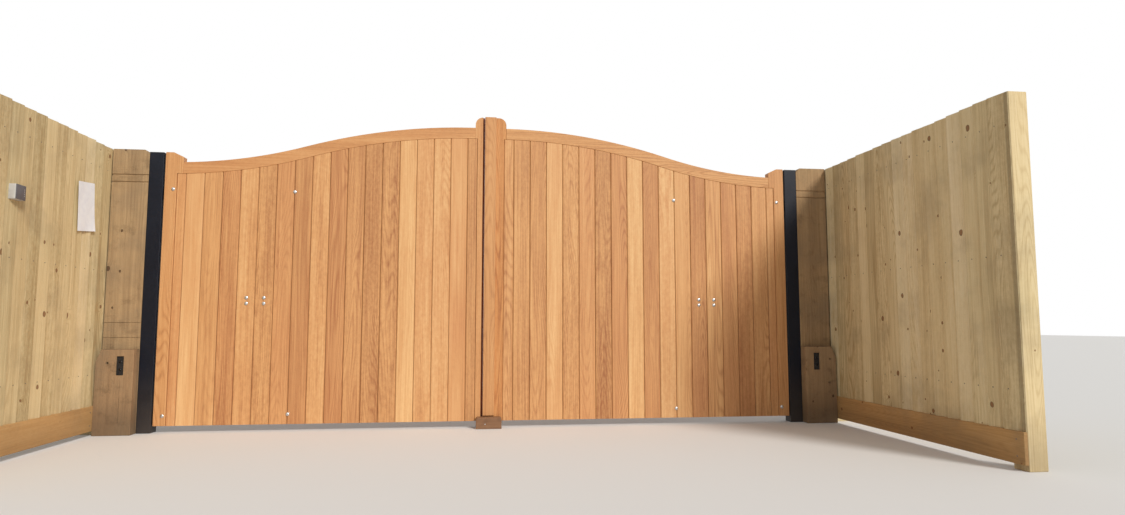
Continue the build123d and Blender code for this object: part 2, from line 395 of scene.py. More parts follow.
class GeometryTree(Bench):
    """Geometry Nodes tree with named inputs, run to give a plain mesh."""

    def __init__(self, name: str, inputs: Mapping[str, str]) -> None:
        """Make the tree.

        Args:
            name: Name of the tree.
            inputs: Socket kinds by input name. A Material input is added.
        """
        super().__init__(bpy.data.node_groups.new(name, "GeometryNodeTree"))
        self.keys: dict[str, str] = {}
        for label, kind in {**inputs, "Material": "Material"}.items():
            socket = self.tree.interface.new_socket(
                name=label, in_out="INPUT", socket_type=f"NodeSocket{kind}"
            )
            self.keys[label] = socket.identifier
        self.tree.interface.new_socket(
            name="Geometry", in_out="OUTPUT", socket_type="NodeSocketGeometry"
        )
        self.inputs = self.node("NodeGroupInput")

    def given(self, label: str) -> Wire:
        """Input of the tree as a wire."""
        return self.inputs[label]

    def piece(self, label: str) -> Wire:
        """Geometry of the object that an input names."""
        inputs = {"Object": self.given(label)}
        return self.node("GeometryNodeObjectInfo", None, inputs)["Geometry"]

    def store(self, geometry: Wire, name: str, value: Wire) -> Wire:
        """Keep a number on each instance.

        Args:
            geometry: The instances.
            name: Name under which it is kept.
            value: The number.

        Returns:
            The instances with the number.
        """
        settings = {"data_type": "FLOAT", "domain": "INSTANCE"}
        inputs = {"Geometry": geometry, "Name": name, "Value": value}
        return self.node("GeometryNodeStoreNamedAttribute", settings, inputs)["Geometry"]

    def stored(self, name: str) -> Wire:
        """Read a number that was kept under a name."""
        kind = {"data_type": "FLOAT"}
        return self.node("GeometryNodeInputNamedAttribute", kind, {"Name": name})["Attribute"]

    def chance(self, low: float, high: float, salt: int) -> Wire:
        """Random number for each item.

        Args:
            low: Least value.
            high: Greatest value.
            salt: Added to the tree's Seed, so that draws differ.

        Returns:
            The number.
        """
        inputs = {"Min_001": low, "Max_001": high, "Seed": self.given("Seed") + salt}
        return self.node("FunctionNodeRandomValue", {"data_type": "FLOAT"}, inputs)["Value_001"]

    def repeat(self, count: Wire, label: str) -> Wire:
        """Copies of an input's object, all in one place.

        Args:
            count: How many.
            label: Input that names the object.

        Returns:
            The instances.
        """
        points = self.node("GeometryNodePoints", None, {"Count": count})[0]
        inputs = {"Points": points, "Instance": self.piece(label)}
        return self.node("GeometryNodeInstanceOnPoints", None, inputs)[0]

    def finish(self, geometry: Wire, place: Wire | None = None) -> None:
        """Realize the instances and give them the material.

        Args:
            geometry: The instances.
            place: Where each point goes, if it is moved.
        """
        solid = self.node("GeometryNodeRealizeInstances", None, {"Geometry": geometry})[0]
        if place:
            inputs = {"Geometry": solid, "Position": place}
            solid = self.node("GeometryNodeSetPosition", None, inputs)[0]
        inputs = {"Geometry": solid, "Material": self.given("Material")}
        dressed = self.node("GeometryNodeSetMaterial", None, inputs)[0]
        self.node("NodeGroupOutput", None, {"Geometry": dressed})

    def run(self, name: str, material: bpy.types.Material, **values: Any) -> bpy.types.Object:
        """Run the tree once.

        Args:
            name: Name of the piece.
            material: Its material.
            **values: Values of the inputs, by name with underscores for spaces.

        Returns:
            A plain mesh object.
        """
        holder = link(bpy.data.objects.new(name, bpy.data.meshes.new(name)))
        modifier = holder.modifiers.new(name, "NODES")
        modifier.node_group = self.tree
        modifier[self.keys["Material"]] = material
        for label, value in values.items():
            modifier[self.keys[label.replace("_", " ")]] = value
        return settle(holder)


# Meshes


def link(piece: bpy.types.Object) -> bpy.types.Object:
    """Put an object in the scene and hand it back."""
    bpy.context.scene.collection.objects.link(piece)
    return piece


def settle(holder: bpy.types.Object) -> bpy.types.Object:
    """Turn an object with modifiers into a plain one of the same name.

    Args:
        holder: The object, which is removed.

    Returns:
        A new object with the evaluated mesh and no modifiers.
    """
    name = holder.name
    view = bpy.context.evaluated_depsgraph_get()
    mesh = bpy.data.meshes.new_from_object(holder.evaluated_get(view))
    bpy.data.objects.remove(holder)
    mesh.name = name
    return link(bpy.data.objects.new(name, mesh))


def from_faces(
    name: str, points: Sequence[Point], faces: Sequence[Sequence[int]]
) -> bpy.types.Object:
    """Closed mesh with its faces turned outwards.

    Args:
        name: Name of the object.
        points: Its corners.
        faces: Corners of each face, by number.

    Returns:
        The object.
    """
    mesh = bpy.data.meshes.new(name)
    mesh.from_pydata(points, [], faces)
    shape = bmesh.new()
    shape.from_mesh(mesh)
    bmesh.ops.recalc_face_normals(shape, faces=shape.faces)
    shape.to_mesh(mesh)
    shape.free()
    return link(bpy.data.objects.new(name, mesh))


def prism(
    name: str, outline: Sequence[Pair], place: Callable[[float, float, int], Point]
) -> bpy.types.Object:
    """Closed prism.

    Args:
        name: Name of the object.
        outline: Points of its section, in order.
        place: Turns a point of the section and an end, 0 or 1, into a point in space.

    Returns:
        The object.
    """
    count = len(outline)
    points = [place(*point, end) for end in (0, 1) for point in outline]
    walls = [(i, (i + 1) % count, (i + 1) % count + count, i + count) for i in range(count)]
    caps = [tuple(range(count)), tuple(range(count, 2 * count))]
    return from_faces(name, points, walls + caps)


def turned(name: str, profile: Sequence[Pair], steps: int) -> bpy.types.Object:
    """Closed round shape about Z.

    Args:
        name: Name of the object.
        profile: Radius and height of each ring, from the bottom up.
        steps: Points in a ring.

    Returns:
        The object.
    """
    points: list[Point] = []
    for radius, height in profile:
        for step in range(steps):
            angle = 2 * math.pi * step / steps
            points.append((radius * math.cos(angle), radius * math.sin(angle), height))
    faces: list[tuple[int, ...]] = [tuple(range(steps))]
    for ring in range(len(profile) - 1):
        low = ring * steps
        for step in range(steps):
            after = (step + 1) % steps
            faces.append((low + step, low + after, low + steps + after, low + steps + step))
    faces.append(tuple(range(len(points) - steps, len(points))))
    return from_faces(name, points, faces)


def joined(name: str, pieces: Sequence[bpy.types.Object]) -> bpy.types.Object:
    """One object from several.

    Args:
        name: Name of the new object.
        pieces: Plain objects of one material, which are removed.

    Returns:
        The object.
    """
    shape = bmesh.new()
    materials = list(pieces[0].data.materials)
    for piece in pieces:
        shape.from_mesh(piece.data)
        bpy.data.objects.remove(piece)
    mesh = bpy.data.meshes.new(name)
    shape.to_mesh(mesh)
    shape.free()
    for material in materials:
        mesh.materials.append(material)
    return link(bpy.data.objects.new(name, mesh))


def mark(piece: bpy.types.Object, marks: Sequence[float]) -> None:
    """Keep a number for each corner of a piece under the name "groove"."""
    piece.data.attributes.new("groove", "FLOAT", "POINT").data.foreach_set("value", marks)


def paint(piece: bpy.types.Object, material: bpy.types.Material) -> None:
    """Give a whole piece one material."""
    piece.data.materials.clear()
    piece.data.materials.append(material)


def smooth(piece: bpy.types.Object, angle: float = 40) -> bpy.types.Object:
    """Shade a piece smooth.

    Args:
        piece: Plain object.
        angle: Angle in degrees from which an edge stays sharp.

    Returns:
        The same object.
    """
    piece.data.polygons.foreach_set("use_smooth", [True] * len(piece.data.polygons))
    piece.data.set_sharp_from_angle(angle=math.radians(angle))
    return piece


def flatten(piece: bpy.types.Object, angle: float = 50) -> bpy.types.Object:
    """Shade a piece so that its large faces look flat and its eased edges round.

    Args:
        piece: Plain object, which is removed.
        angle: Angle in degrees from which an edge stays sharp.

    Returns:
        The shaded object.
    """
    weights = smooth(piece, angle).modifiers.new("weights", "WEIGHTED_NORMAL")
    weights.keep_sharp = True
    return settle(piece)


def number_planks(piece: bpy.types.Object, seed: int) -> bpy.types.Object:
    """Give each loose part of a piece its own random number, kept as "plank".

    Args:
        piece: Plain object.
        seed: Start of the random draws.

    Returns:
        The same object.
    """
    draw = random.Random(seed)
    shape = bmesh.new()
    shape.from_mesh(piece.data)
    layer = shape.verts.layers.float.new("plank")
    waiting = set(shape.verts)
    for first in shape.verts:
        if first not in waiting:
            continue
        number = draw.random()
        waiting.discard(first)
        front = [first]
        while front:
            corner = front.pop()
            corner[layer] = number
            for edge in corner.link_edges:
                other = edge.other_vert(corner)
                if other in waiting:
                    waiting.discard(other)
                    front.append(other)
    shape.to_mesh(piece.data)
    shape.free()
    return piece


# Finishes


class Grain(Enum):
    """Axes along the grain, across it and into the piece."""

    UPRIGHT = (2, 0, 1)
    LEVEL = (0, 2, 1)
    FENCE_UPRIGHT = (2, 1, 0)
    FENCE_LEVEL = (1, 2, 0)


@dataclass(frozen=True)
class Timber:
    """Finish of sawn or planed wood.

    Attributes:
        name: Name of the material.
        dark: Colour of the darkest streaks.
        middle: Usual colour.
        pale: Colour of the palest streaks.
        blush: Colour that some planks lean to.
        grain: Which way the grain runs.
        turn: Angle by which the grain is turned in the face, in radians.
        spread: How much the planks differ in tone.
        rings: Strength of the growth rings.
        pores: Strength of the short dark pores.
        knots: Share of places that hold a knot.
        knot_size: Size of the knots against a fence board's.
        core: Colour of the knots.
        roughness: Roughness of the surface.
        depth: Height of the surface's relief.
        sawn: Share of saw marks in that relief.
        damp: How far the foot is stained by splashes.
        weather: How grey and green the wood is in patches.
        stains: Strength of small dark stains.
        joints: How much painted shade, with some dirt, darkens the bevels, tongues and laps between
            boards.
        end_grain: How dark the end grain is; on the post and the block it is raised so that their
            top faces also carry painted shade.
    """

    name: str
    dark: Colour
    middle: Colour
    pale: Colour
    blush: Colour
    grain: Grain = Grain.UPRIGHT
    turn: float = 0
    spread: float = 0.5
    rings: float = 0.3
    pores: float = 0.1
    knots: float = 0
    knot_size: float = 1
    core: Colour = colour(98, 63, 40)
    roughness: float = 0.55
    depth: float = 0.4 * MM
    sawn: float = 0
    damp: float = 0
    weather: float = 0
    stains: float = 0
    joints: float = 0.24
    end_grain: float = 0.35

    def material(self) -> bpy.types.Material:
        """Build the material.

        Returns:
            The finished material.
        """
        surface = Surface(self.name)
        plank = surface.attribute("plank")
        axes = surface.split(surface.place["Object"])
        along, across, inward = self.grain_axes(axes, plank)
        knotty = (plank * 4.7).fraction() * 1.5 + 0.25
        knot, halo = self.knot_masks(surface, along, across, knotty)
        sway = surface.noise(surface.vector(across, inward, along * 0.35), 2.2, 1) - 0.5
        drift = across + sway * 0.05 + halo * 0.012

        def lines(stretch: float, scale: float, detail: float, rough: float = 0.5) -> Wire:
            """Noise drawn out along the grain."""
            return surface.noise(
                surface.vector(drift, inward, along * stretch), scale, detail, rough
            )

        fibre = lines(0.02, 480, 3)
        streak = lines(0.018, 95, 4, 0.65)
        broad = lines(0.06, 17, 2)
        pore = lines(0.11, 620, 1).rise(0.6, 0.72)
        figure = surface.noise(surface.vector(across, inward, along * 0.09), 5, 1)
        wave = (figure * 300 + drift * 420 + halo * 9).sine() * 0.5 + 0.5
        mottle = surface.noise(surface.vector(across, inward, along * 0.55), 62, 3, 0.6) - 0.5

        tone = (plank * 7.13).fraction() - 0.5
        shade = 0.5 + tone * self.spread + (broad - 0.5) * 0.55 + (streak - 0.5) * 0.8
        shade = shade + (fibre - 0.5) * 0.3 - wave**3 * (plank * 5.31).fraction() * self.rings
        shade = shade + mottle * (plank * 2.9).fraction() * 0.5 - pore * self.pores
        stops = [(0, self.dark), (0.5, self.middle), (1, self.pale)]
        wood = surface.node("ShaderNodeValToRGB", {"stops": stops}, {0: shade})[0]
        cloud = surface.noise(surface.vector(across, inward, along), 1.5)
        wood = surface.blend((plank * 3.77).fraction() * 0.6 * cloud, wood, self.blush)
        wood = self.aged(surface, wood, axes[2], fibre)
        wood = self.marked(surface, wood, knot)

        marks = surface.noise(surface.vector(across * 0.04, inward * 0.04, along), 210, 2)
        relief = fibre * 0.5 + streak * 0.35 + wave * 0.15 + marks * self.sawn
        return surface.coat(
            Base_Color=wood,
            Roughness=self.roughness + (streak - 0.5) * 0.25 + knot * 0.1,
            Normal=surface.relief(relief - knot * 0.2 - pore * 0.2, self.depth),
            Specular_IOR_Level=0.4,
        )

    def grain_axes(self, axes: Sequence[Wire], plank: Wire) -> tuple[Wire, Wire, Wire]:
        """Place in a plank's own grain.

        Args:
            axes: X, Y and Z.
            plank: The plank's random number, which shifts its pattern.

        Returns:
            Place along the grain, across it and into the piece.
        """
        along, across, inward = (axes[axis] for axis in self.grain.value)
        if self.turn:
            cosine, sine = math.cos(self.turn), math.sin(self.turn)
            along, across = along * cosine + across * sine, across * cosine - along * sine
        return along + plank * 31.7, across + plank * 13.1, inward + plank * 7.3

    def knot_masks(
        self, surface: Surface, along: Wire, across: Wire, knotty: Wire
    ) -> tuple[Scalar, Scalar]:
        """Knots.

        Args:
            surface: Material in the making.
            along: Place along the grain.
            across: Place across the grain.
            knotty: How many more knots this plank has than the rest.

        Returns:
            The mask of the knots, and of the bent grain around them.
        """
        if not self.knots:
            return 0 * along, 0 * along
        wide, tall = 9.0, 3.8
        spot = surface.vector(across * wide, along * tall, 0)
        cell = surface.node(
            "ShaderNodeTexVoronoi", {"voronoi_dimensions": "2D"}, {"Vector": spot, "Scale": 1}
        )
        middle_x, middle_y, _ = surface.split(cell["Position"])
        red, green, _ = surface.split(cell["Color"])
        side = across - middle_x / wide
        rise = (along - middle_y / tall) * 0.75
        wobble = surface.noise(surface.vector(across, along, 0), 60, 1) * 0.006
        distance = ((side * side + rise * rise).root() + wobble - 0.003) / self.knot_size
        radius = 0.003 + red * red * 0.009
        present = green < knotty * self.knots
        knot = (1 - (distance / radius).rise(0.75, 1.25)) * present
        halo = (1 - (distance / radius).rise(0.8, 4.5)) * present
        return knot * 0.85, halo

    def aged(self, surface: Surface, wood: Wire, height: Wire, fibre: Wire) -> Wire:
        """Stains of damp near the ground, grey or green patches and small dark stains.

        Args:
            surface: Material in the making.
            wood: Colour of the clean wood.
            height: Height above the ground.
            fibre: Fine pattern of the fibres.

        Returns:
            The aged colour.
        """
        place = surface.place["Object"]
        patch = surface.noise(place, 3.1, 4, 0.6)
        if self.damp:
            reach = 0.16 + patch * 0.35
            splash = 1 - (height / reach).rise(0.1, 1.0)
            share = splash * self.damp * (0.6 + fibre * 0.6)
            wood = surface.blend(share, wood, colour(92, 74, 56))
        if self.weather:
            green = surface.noise(place, 1.7, 3, 0.65).rise(0.52, 0.72)
            wood = surface.blend(patch.rise(0.42, 0.72) * self.weather, wood, colour(126, 108, 86))
            wood = surface.blend(green * self.weather * 0.25, wood, colour(120, 124, 88))
        if self.stains:
            stain = surface.noise(place, 9, 7, 0.72).rise(0.5, 0.7)
            wood = surface.blend(stain * self.stains, wood, self.darker(self.dark, 0.6))
        return wood

    def marked(self, surface: Surface, wood: Wire, knot: Scalar) -> Wire:
        """Knots with a dark rim, end grain darkened partly by painted shade, and joints darkened by
        painted shade with some dirt.

        Args:
            surface: Material in the making.
            wood: Colour of the wood.
            knot: Mask of the knots.

        Returns:
            The marked colour.
        """
        end, side = (
            abs(surface.split(surface.place["Normal"])[axis]).rise(0.75, 0.9)
            for axis in self.grain.value[:2]
        )
        rim = (knot * (1 - knot) * 8 - 1).most(0)
        wood = surface.blend(knot * (1 - side), wood, self.core)
        wood = surface.blend(rim * (1 - side) * 0.7, wood, self.darker(self.core, 0.3))
        # the end grain is darkened; on the post and the block the share is raised so that their top
        # faces carry painted shade too
        wood = surface.blend(end * self.end_grain, wood, self.dark)
        # painted shade, with some dirt, darkens the marked bevels, tongues and laps between boards
        joint = surface.attribute("groove") * self.joints
        return surface.blend(joint, wood, self.darker(self.dark, 0.3))

    @staticmethod
    def darker(shade: Colour, share: float) -> Colour:
        """A share of a colour's light."""
        return tuple(value * share for value in shade)


@dataclass(frozen=True)
class Metal:
    """Finish of bare or coated metal.

    Attributes:
        name: Name of the material.
        base: Usual colour.
        other: Colour of its patches.
        metallic: One on bare metal, nought under a coat.
        roughness: Roughness of the surface.
        grain: Patches in a metre.
        depth: Height of the surface's relief.
        dust: How far the foot is dusted.
        gloss: Strength of a coat's mirror light.
    """

    name: str
    base: Colour
    other: Colour
    metallic: float = 1
    roughness: float = 0.35
    grain: float = 120
    depth: float = 0.05 * MM
    dust: float = 0
    gloss: float = 0.5

    def material(self) -> bpy.types.Material:
        """Build the material.

        Returns:
            The finished material.
        """
        surface = Surface(self.name)
        place = surface.place["Object"]
        cell = surface.node("ShaderNodeTexVoronoi", None, {"Vector": place, "Scale": self.grain})
        spangle = surface.split(cell["Color"])[0]
        cloud = surface.noise(place, 6, 3)
        skin = surface.noise(place, 900, 1)
        tone = surface.blend(spangle * 0.5 + cloud * 0.5, self.base, self.other)
        rough = self.roughness + (spangle - 0.5) * 0.15 + (cloud - 0.5) * 0.2
        if self.dust:
            height = surface.split(place)[2]
            dusty = (1 - height.rise(0.0, 0.45)) * self.dust * (0.4 + cloud)
            dusty = dusty + surface.noise(place, 35, 5, 0.7).rise(0.56, 0.8) * self.dust * 0.25
            tone = surface.blend(dusty, tone, colour(134, 116, 94))
            rough = rough + dusty * 0.3
        return surface.coat(
            Base_Color=tone,
            Metallic=self.metallic,
            Roughness=rough,
            Normal=surface.relief(skin * 0.6 + cloud * 0.4, self.depth),
            Specular_IOR_Level=self.gloss,
        )


@dataclass(frozen=True)
class Moulded:
    """Finish of plastic or paper, and of the dark strip painted as the seam's shade.

    Attributes:
        name: Name of the material.
        base: Usual colour.
        other: Colour of its faint clouds.
        roughness: Roughness of the surface.
        grain: Grains of the relief in a metre.
        depth: Height of the relief.
    """

    name: str
    base: Colour
    other: Colour
    roughness: float = 0.5
    grain: float = 1500
    depth: float = 0.03 * MM

    def material(self) -> bpy.types.Material:
        """Build the material.

        Returns:
            The finished material.
        """
        surface = Surface(self.name)
        place = surface.place["Object"]
        cloud = surface.noise(place, 22, 4, 0.6)
        grain = surface.noise(place, self.grain, 2)
        return surface.coat(
            Base_Color=surface.blend(cloud.rise(0.35, 0.75), self.base, self.other),
            Roughness=self.roughness + (cloud - 0.5) * 0.2,
            Normal=surface.relief(grain, self.depth),
        )


BOARD_WOOD = Timber(
    "hardwood_boards",
    dark=colour(154, 98, 60),
    middle=colour(211, 157, 103),
    pale=colour(240, 199, 142),
    blush=colour(198, 129, 85),
    spread=0.44,
    rings=0.24,
)
FRAME_WOOD = Timber(
    "hardwood_upright",
    dark=colour(140, 90, 56),
    middle=colour(201, 145, 93),
    pale=colour(230, 181, 125),
    blush=colour(188, 124, 79),
    spread=0.3,
)
STILE_WOOD = replace(
    FRAME_WOOD,
    name="hardwood_stile",
    dark=colour(134, 80, 46),
    middle=colour(194, 131, 77),
    pale=colour(222, 167, 107),
    blush=colour(180, 111, 65),
)
STOP_WOOD = Timber(
    "stop_wood",
    dark=colour(102, 68, 46),
    middle=colour(146, 102, 70),
    pale=colour(174, 130, 94),
    blush=colour(140, 92, 62),
    grain=Grain.LEVEL,
    damp=0.5,
)
FENCE_WOOD = Timber(
    "fence_upright",
    dark=colour(166, 141, 98),
    middle=colour(218, 199, 154),
    pale=colour(240, 225, 188),
    blush=colour(218, 185, 134),
    spread=0.3,
    pores=0,
    knots=0.6,
    core=colour(128, 86, 53),
    roughness=0.8,
    depth=0.9 * MM,
    sawn=0.5,
    damp=0.25,
    weather=0.3,
    # stronger painted shadow, with some dirt, in the fence's laps
    joints=0.42,
)
GRAVEL_WOOD = replace(
    FENCE_WOOD,
    name="gravel_board",
    dark=colour(138, 101, 62),
    middle=colour(198, 155, 99),
    pale=colour(224, 184, 128),
    blush=colour(194, 142, 87),
    grain=Grain.FENCE_LEVEL,
    damp=0.4,
)
POST_WOOD = Timber(
    "post_wood",
    dark=colour(122, 96, 68),
    middle=colour(174, 144, 106),
    pale=colour(200, 170, 130),
    blush=colour(174, 134, 95),
    spread=0.2,
    pores=0,
    knots=0.5,
    knot_size=1.7,
    core=colour(84, 60, 42),
    roughness=0.85,
    depth=1.1 * MM,
    sawn=0.7,
    damp=0.5,
    weather=0.45,
    stains=0.35,
    # darker top face of the post: end grain and painted shade
    end_grain=0.7,
)
BLOCK_WOOD = replace(
    POST_WOOD,
    name="block_wood",
    dark=colour(102, 80, 57),
    middle=colour(158, 129, 96),
    pale=colour(186, 156, 119),
    blush=colour(152, 117, 84),
    damp=0.7,
    weather=0.5,
    stains=0.45,
    # fully dark top face of the block: end grain, dirt and painted shade
    end_grain=1,
)
# the blue tint in both colours is a painted reflection of the sky on the black coat
BLACK_STEEL = Metal(
    "black_steel",
    colour(17, 20, 29),
    colour(27, 31, 42),
    metallic=0,
    roughness=0.45,
    grain=160,
    depth=0.03 * MM,
    dust=0.16,
    gloss=0.28,
)
GALVANISED = Metal(
    "galvanised",
    colour(166, 170, 174),
    colour(196, 199, 202),
    metallic=0.85,
    roughness=0.45,
    grain=110,
)
BRIGHT_BOLT = Metal(
    "bright_bolt",
    colour(188, 188, 188),
    colour(214, 213, 211),
    metallic=0.9,
    roughness=0.32,
    grain=400,
    depth=0.02 * MM,
)
DULL_NAIL = Metal(
    "dull_nail",
    colour(112, 106, 98),
    colour(136, 128, 118),
    metallic=0.7,
    roughness=0.6,
    grain=300,
    depth=0.03 * MM,
)
PAPER = Moulded(
    "paper",
    colour(247, 251, 255),
    colour(238, 242, 249),
    roughness=0.85,
    grain=160,
    depth=0.25 * MM,
)
BLACK_PLASTIC = Moulded("black_plastic", colour(24, 24, 26), colour(34, 34, 35))
DARK_END = Moulded("dark_end", colour(30, 22, 17), colour(42, 32, 25), 0.7)
# painted shade of the seam between the leaves
SEAM_SHADE_BROWN = Moulded("brown_rubber", colour(116, 58, 34), colour(134, 71, 45), 0.7)
DARK_LENS = Moulded("dark_lens", colour(14, 8, 10), colour(20, 10, 12), 0.12, 10, 0)
BOX_BODY = Moulded("pale_grey_plastic", colour(196, 193, 186), colour(180, 176, 170))
# dark grey of the cover, partly the cover's own colour and partly painted shade on that face
BOX_COVER_AND_SHADE = Moulded("grey_plastic", colour(92, 92, 97), colour(106, 106, 110))


class Finishes:
    """Every finish of the gate, each built once."""

    def __init__(self) -> None:
        """Build the materials."""
        level = replace(FRAME_WOOD, name="hardwood_level", grain=Grain.LEVEL)
        self.boards = BOARD_WOOD.material()
        self.upright = FRAME_WOOD.material()
        self.meeting_stiles = {Side.LEFT: self.upright, Side.RIGHT: STILE_WOOD.material()}
        self.level = level.material()
        self.slanted = {
            side: replace(
                level, name=f"hardwood_slanted_{side.label}", turn=-side.value * BRACE_TURN
            ).material()
            for side in Side
        }
        self.stop = STOP_WOOD.material()
        self.fence_boards = replace(
            FENCE_WOOD, name="fence_boards", spread=0.6, grain=Grain.FENCE_UPRIGHT
        ).material()
        self.fence_upright = FENCE_WOOD.material()
        self.fence_level = replace(
            FENCE_WOOD, name="fence_level", grain=Grain.FENCE_LEVEL
        ).material()
        self.gravel_board = GRAVEL_WOOD.material()
        self.post = POST_WOOD.material()
        self.block = BLOCK_WOOD.material()
        self.black_steel = BLACK_STEEL.material()
        self.galvanised = GALVANISED.material()
        self.bright_bolt = BRIGHT_BOLT.material()
        self.dull_nail = DULL_NAIL.material()
        self.black_plastic = BLACK_PLASTIC.material()
        self.dark_end = DARK_END.material()
        self.rubber = SEAM_SHADE_BROWN.material()
        self.lens = DARK_LENS.material()
        self.box_body = BOX_BODY.material()
        self.box_cover = BOX_COVER_AND_SHADE.material()
        self.paper = PAPER.material()


# Repeats


class BoardTree(GeometryTree):
    """Upright boards of a leaf, cut at the top to the arch, with loose tongues between them."""

    KINDS = {"Board": "Object", "Tongue": "Object", "Count": "Int", "Seed": "Int"}
    LENGTHS = ("Pitch", "First Joint", "Inner", "Outer", "Side", "Middle", "Front", "Foot")
    CROWN = ("Crown Start", "Crown Radius", "Crown Centre", "Join")
    SWEEP = ("Sweep End", "Sweep Radius", "Sweep Centre")
    SET_BACK = 0.5 * MM

    def __init__(self) -> None:
        """Build the tree."""
        floats = {name: "Float" for name in self.LENGTHS + self.CROWN + self.SWEEP}
        super().__init__("leaf_boards", {**self.KINDS, **floats})
        given = self.given
        index = self.node("GeometryNodeInputIndex")[0]
        first, pitch = given("First Joint"), given("Pitch")

        near = (first + (index - 1) * pitch).most(given("Inner"))
        far = (first + index * pitch).least(given("Outer"))
        boards = self.repeat(given("Count"), "Board")
        boards = self.store(boards, "centre", (near + far) * 0.5)
        boards = self.store(boards, "gain", (far - near - pitch) * 0.5)
        boards = self.store(boards, "plank", self.chance(0, 1, 0))
        boards = self.store(boards, "set_back", self.chance(0, self.SET_BACK, 1))

        tongues = self.repeat(given("Count") - 1, "Tongue")
        tongues = self.store(tongues, "centre", first + index * pitch)
        both = self.node("GeometryNodeJoinGeometry")
        for geometry in (boards, tongues):
            self.tree.links.new(geometry.socket, both.node.inputs[0])
        self.finish(both[0], self.place())

    def place(self) -> Wire:
        """Where each point goes, from its place in its own board.

        Returns:
            Its place in the leaf.
        """
        given = self.given
        x, y, z = self.split(self.node("GeometryNodeInputPosition")[0])
        middle = given("Middle")
        shifted = x + x.sign() * self.stored("gain")
        new_x = middle + given("Side") * self.stored("centre") + shifted
        distance = abs(new_x - middle)
        new_y = given("Front") + y + self.stored("set_back")
        new_z = given("Foot") + z * (self.arch(distance) - given("Foot"))
        return self.vector(new_x, new_y, new_z)

    def arch(self, distance: Wire) -> Wire:
        """Height of the boards' top.

        Args:
            distance: Distance from the middle of the opening.

        Returns:
            The height above the ground.
        """
        given = self.given
        run = (distance - given("Crown Start")).most(0)
        crown = given("Crown Centre") + (given("Crown Radius") ** 2 - run * run).root()
        run = given("Sweep End") - distance
        sweep = given("Sweep Centre") - (given("Sweep Radius") ** 2 - run * run).root()
        beyond = distance > given("Join")
        return crown + beyond * (sweep - crown)


class LapTree(GeometryTree):
    """Upright fence boards, each lapped over the next one's thin edge."""

    KINDS = {"Board": "Object", "Count": "Int", "Seed": "Int"}
    LENGTHS = ("Pitch", "Start", "Back", "Foot", "Height")
    STRAY = 1.5 * MM
    SHORTEST = 4 * MM

    def __init__(self) -> None:
        """Build the tree."""
        floats = {name: "Float" for name in self.LENGTHS}
        super().__init__("lapped_boards", {**self.KINDS, **floats})
        index = self.node("GeometryNodeInputIndex")[0]
        boards = self.repeat(self.given("Count"), "Board")
        start = self.given("Start") + index * self.given("Pitch")
        for name, value in {
            "start": start + self.chance(-self.STRAY, self.STRAY, 1),
            "lean": self.chance(-self.STRAY, self.STRAY, 2),
            "short": self.chance(0, self.SHORTEST, 3),
            "plank": self.chance(0, 1, 0),
        }.items():
            boards = self.store(boards, name, value)
        x, y, z = self.split(self.node("GeometryNodeInputPosition")[0])
        tall = self.given("Height") - self.stored("short")
        place = self.vector(
            self.given("Back") + x,
            self.stored("start") + y + z * self.stored("lean"),
            self.given("Foot") + z * tall,
        )
        self.finish(boards, place)


class FixingTree(GeometryTree):
    """Rows and columns of a small fixing."""

    KINDS = {"Part": "Object", "Columns": "Int", "Rows": "Int", "Seed": "Int", "Scatter": "Float"}
    PLACES = ("Start", "Column Step", "Row Step", "Facing")

    def __init__(self) -> None:
        """Build the tree."""
        super().__init__("fixings", {**self.KINDS, **{name: "Vector" for name in self.PLACES}})
        given = self.given
        index = self.node("GeometryNodeInputIndex")[0]
        column = self.sum("MODULO", index, given("Columns"))
        row = (index / given("Columns")).floor()
        count = given("Columns") * given("Rows")
        offset = self.vector(*(self.chance(-1, 1, salt) * given("Scatter") for salt in (1, 2, 3)))
        place = self.shift(given("Start"), self.scaled(given("Column Step"), column))
        place = self.shift(place, self.scaled(given("Row Step"), row))
        fixings = self.repeat(count, "Part")
        spin = self.vector(0, 0, self.chance(0, 2 * math.pi, 4))
        turned_part = {"Instances": fixings, "Rotation": spin}
        fixings = self.node("GeometryNodeRotateInstances", None, turned_part)[0]
        facing = {"Instances": fixings, "Rotation": given("Facing"), "Local Space": False}
        fixings = self.node("GeometryNodeRotateInstances", None, facing)[0]
        place = self.shift(place, offset)
        moved = {"Instances": fixings, "Translation": place, "Local Space": False}
        self.finish(self.node("GeometryNodeTranslateInstances", None, moved)[0])

    def shift(self, first: Wire, second: Wire) -> Wire:
        """Sum of two vectors."""
        return self.node("ShaderNodeVectorMath", {"operation": "ADD"}, {0: first, 1: second})[0]

    def scaled(self, vector: Wire, share: Wire) -> Wire:
        """Vector times a number."""
        inputs = {0: vector, "Scale": share}
        return self.node("ShaderNodeVectorMath", {"operation": "SCALE"}, inputs)[0]


class Facing(Enum):
    """Turn that points a fixing's axis a way."""

    FRONT = (math.radians(90), 0.0, 0.0)
    BACK = (math.radians(-90), 0.0, 0.0)
    RIGHT = (0.0, math.radians(90), 0.0)
    LEFT = (0.0, math.radians(-90), 0.0)


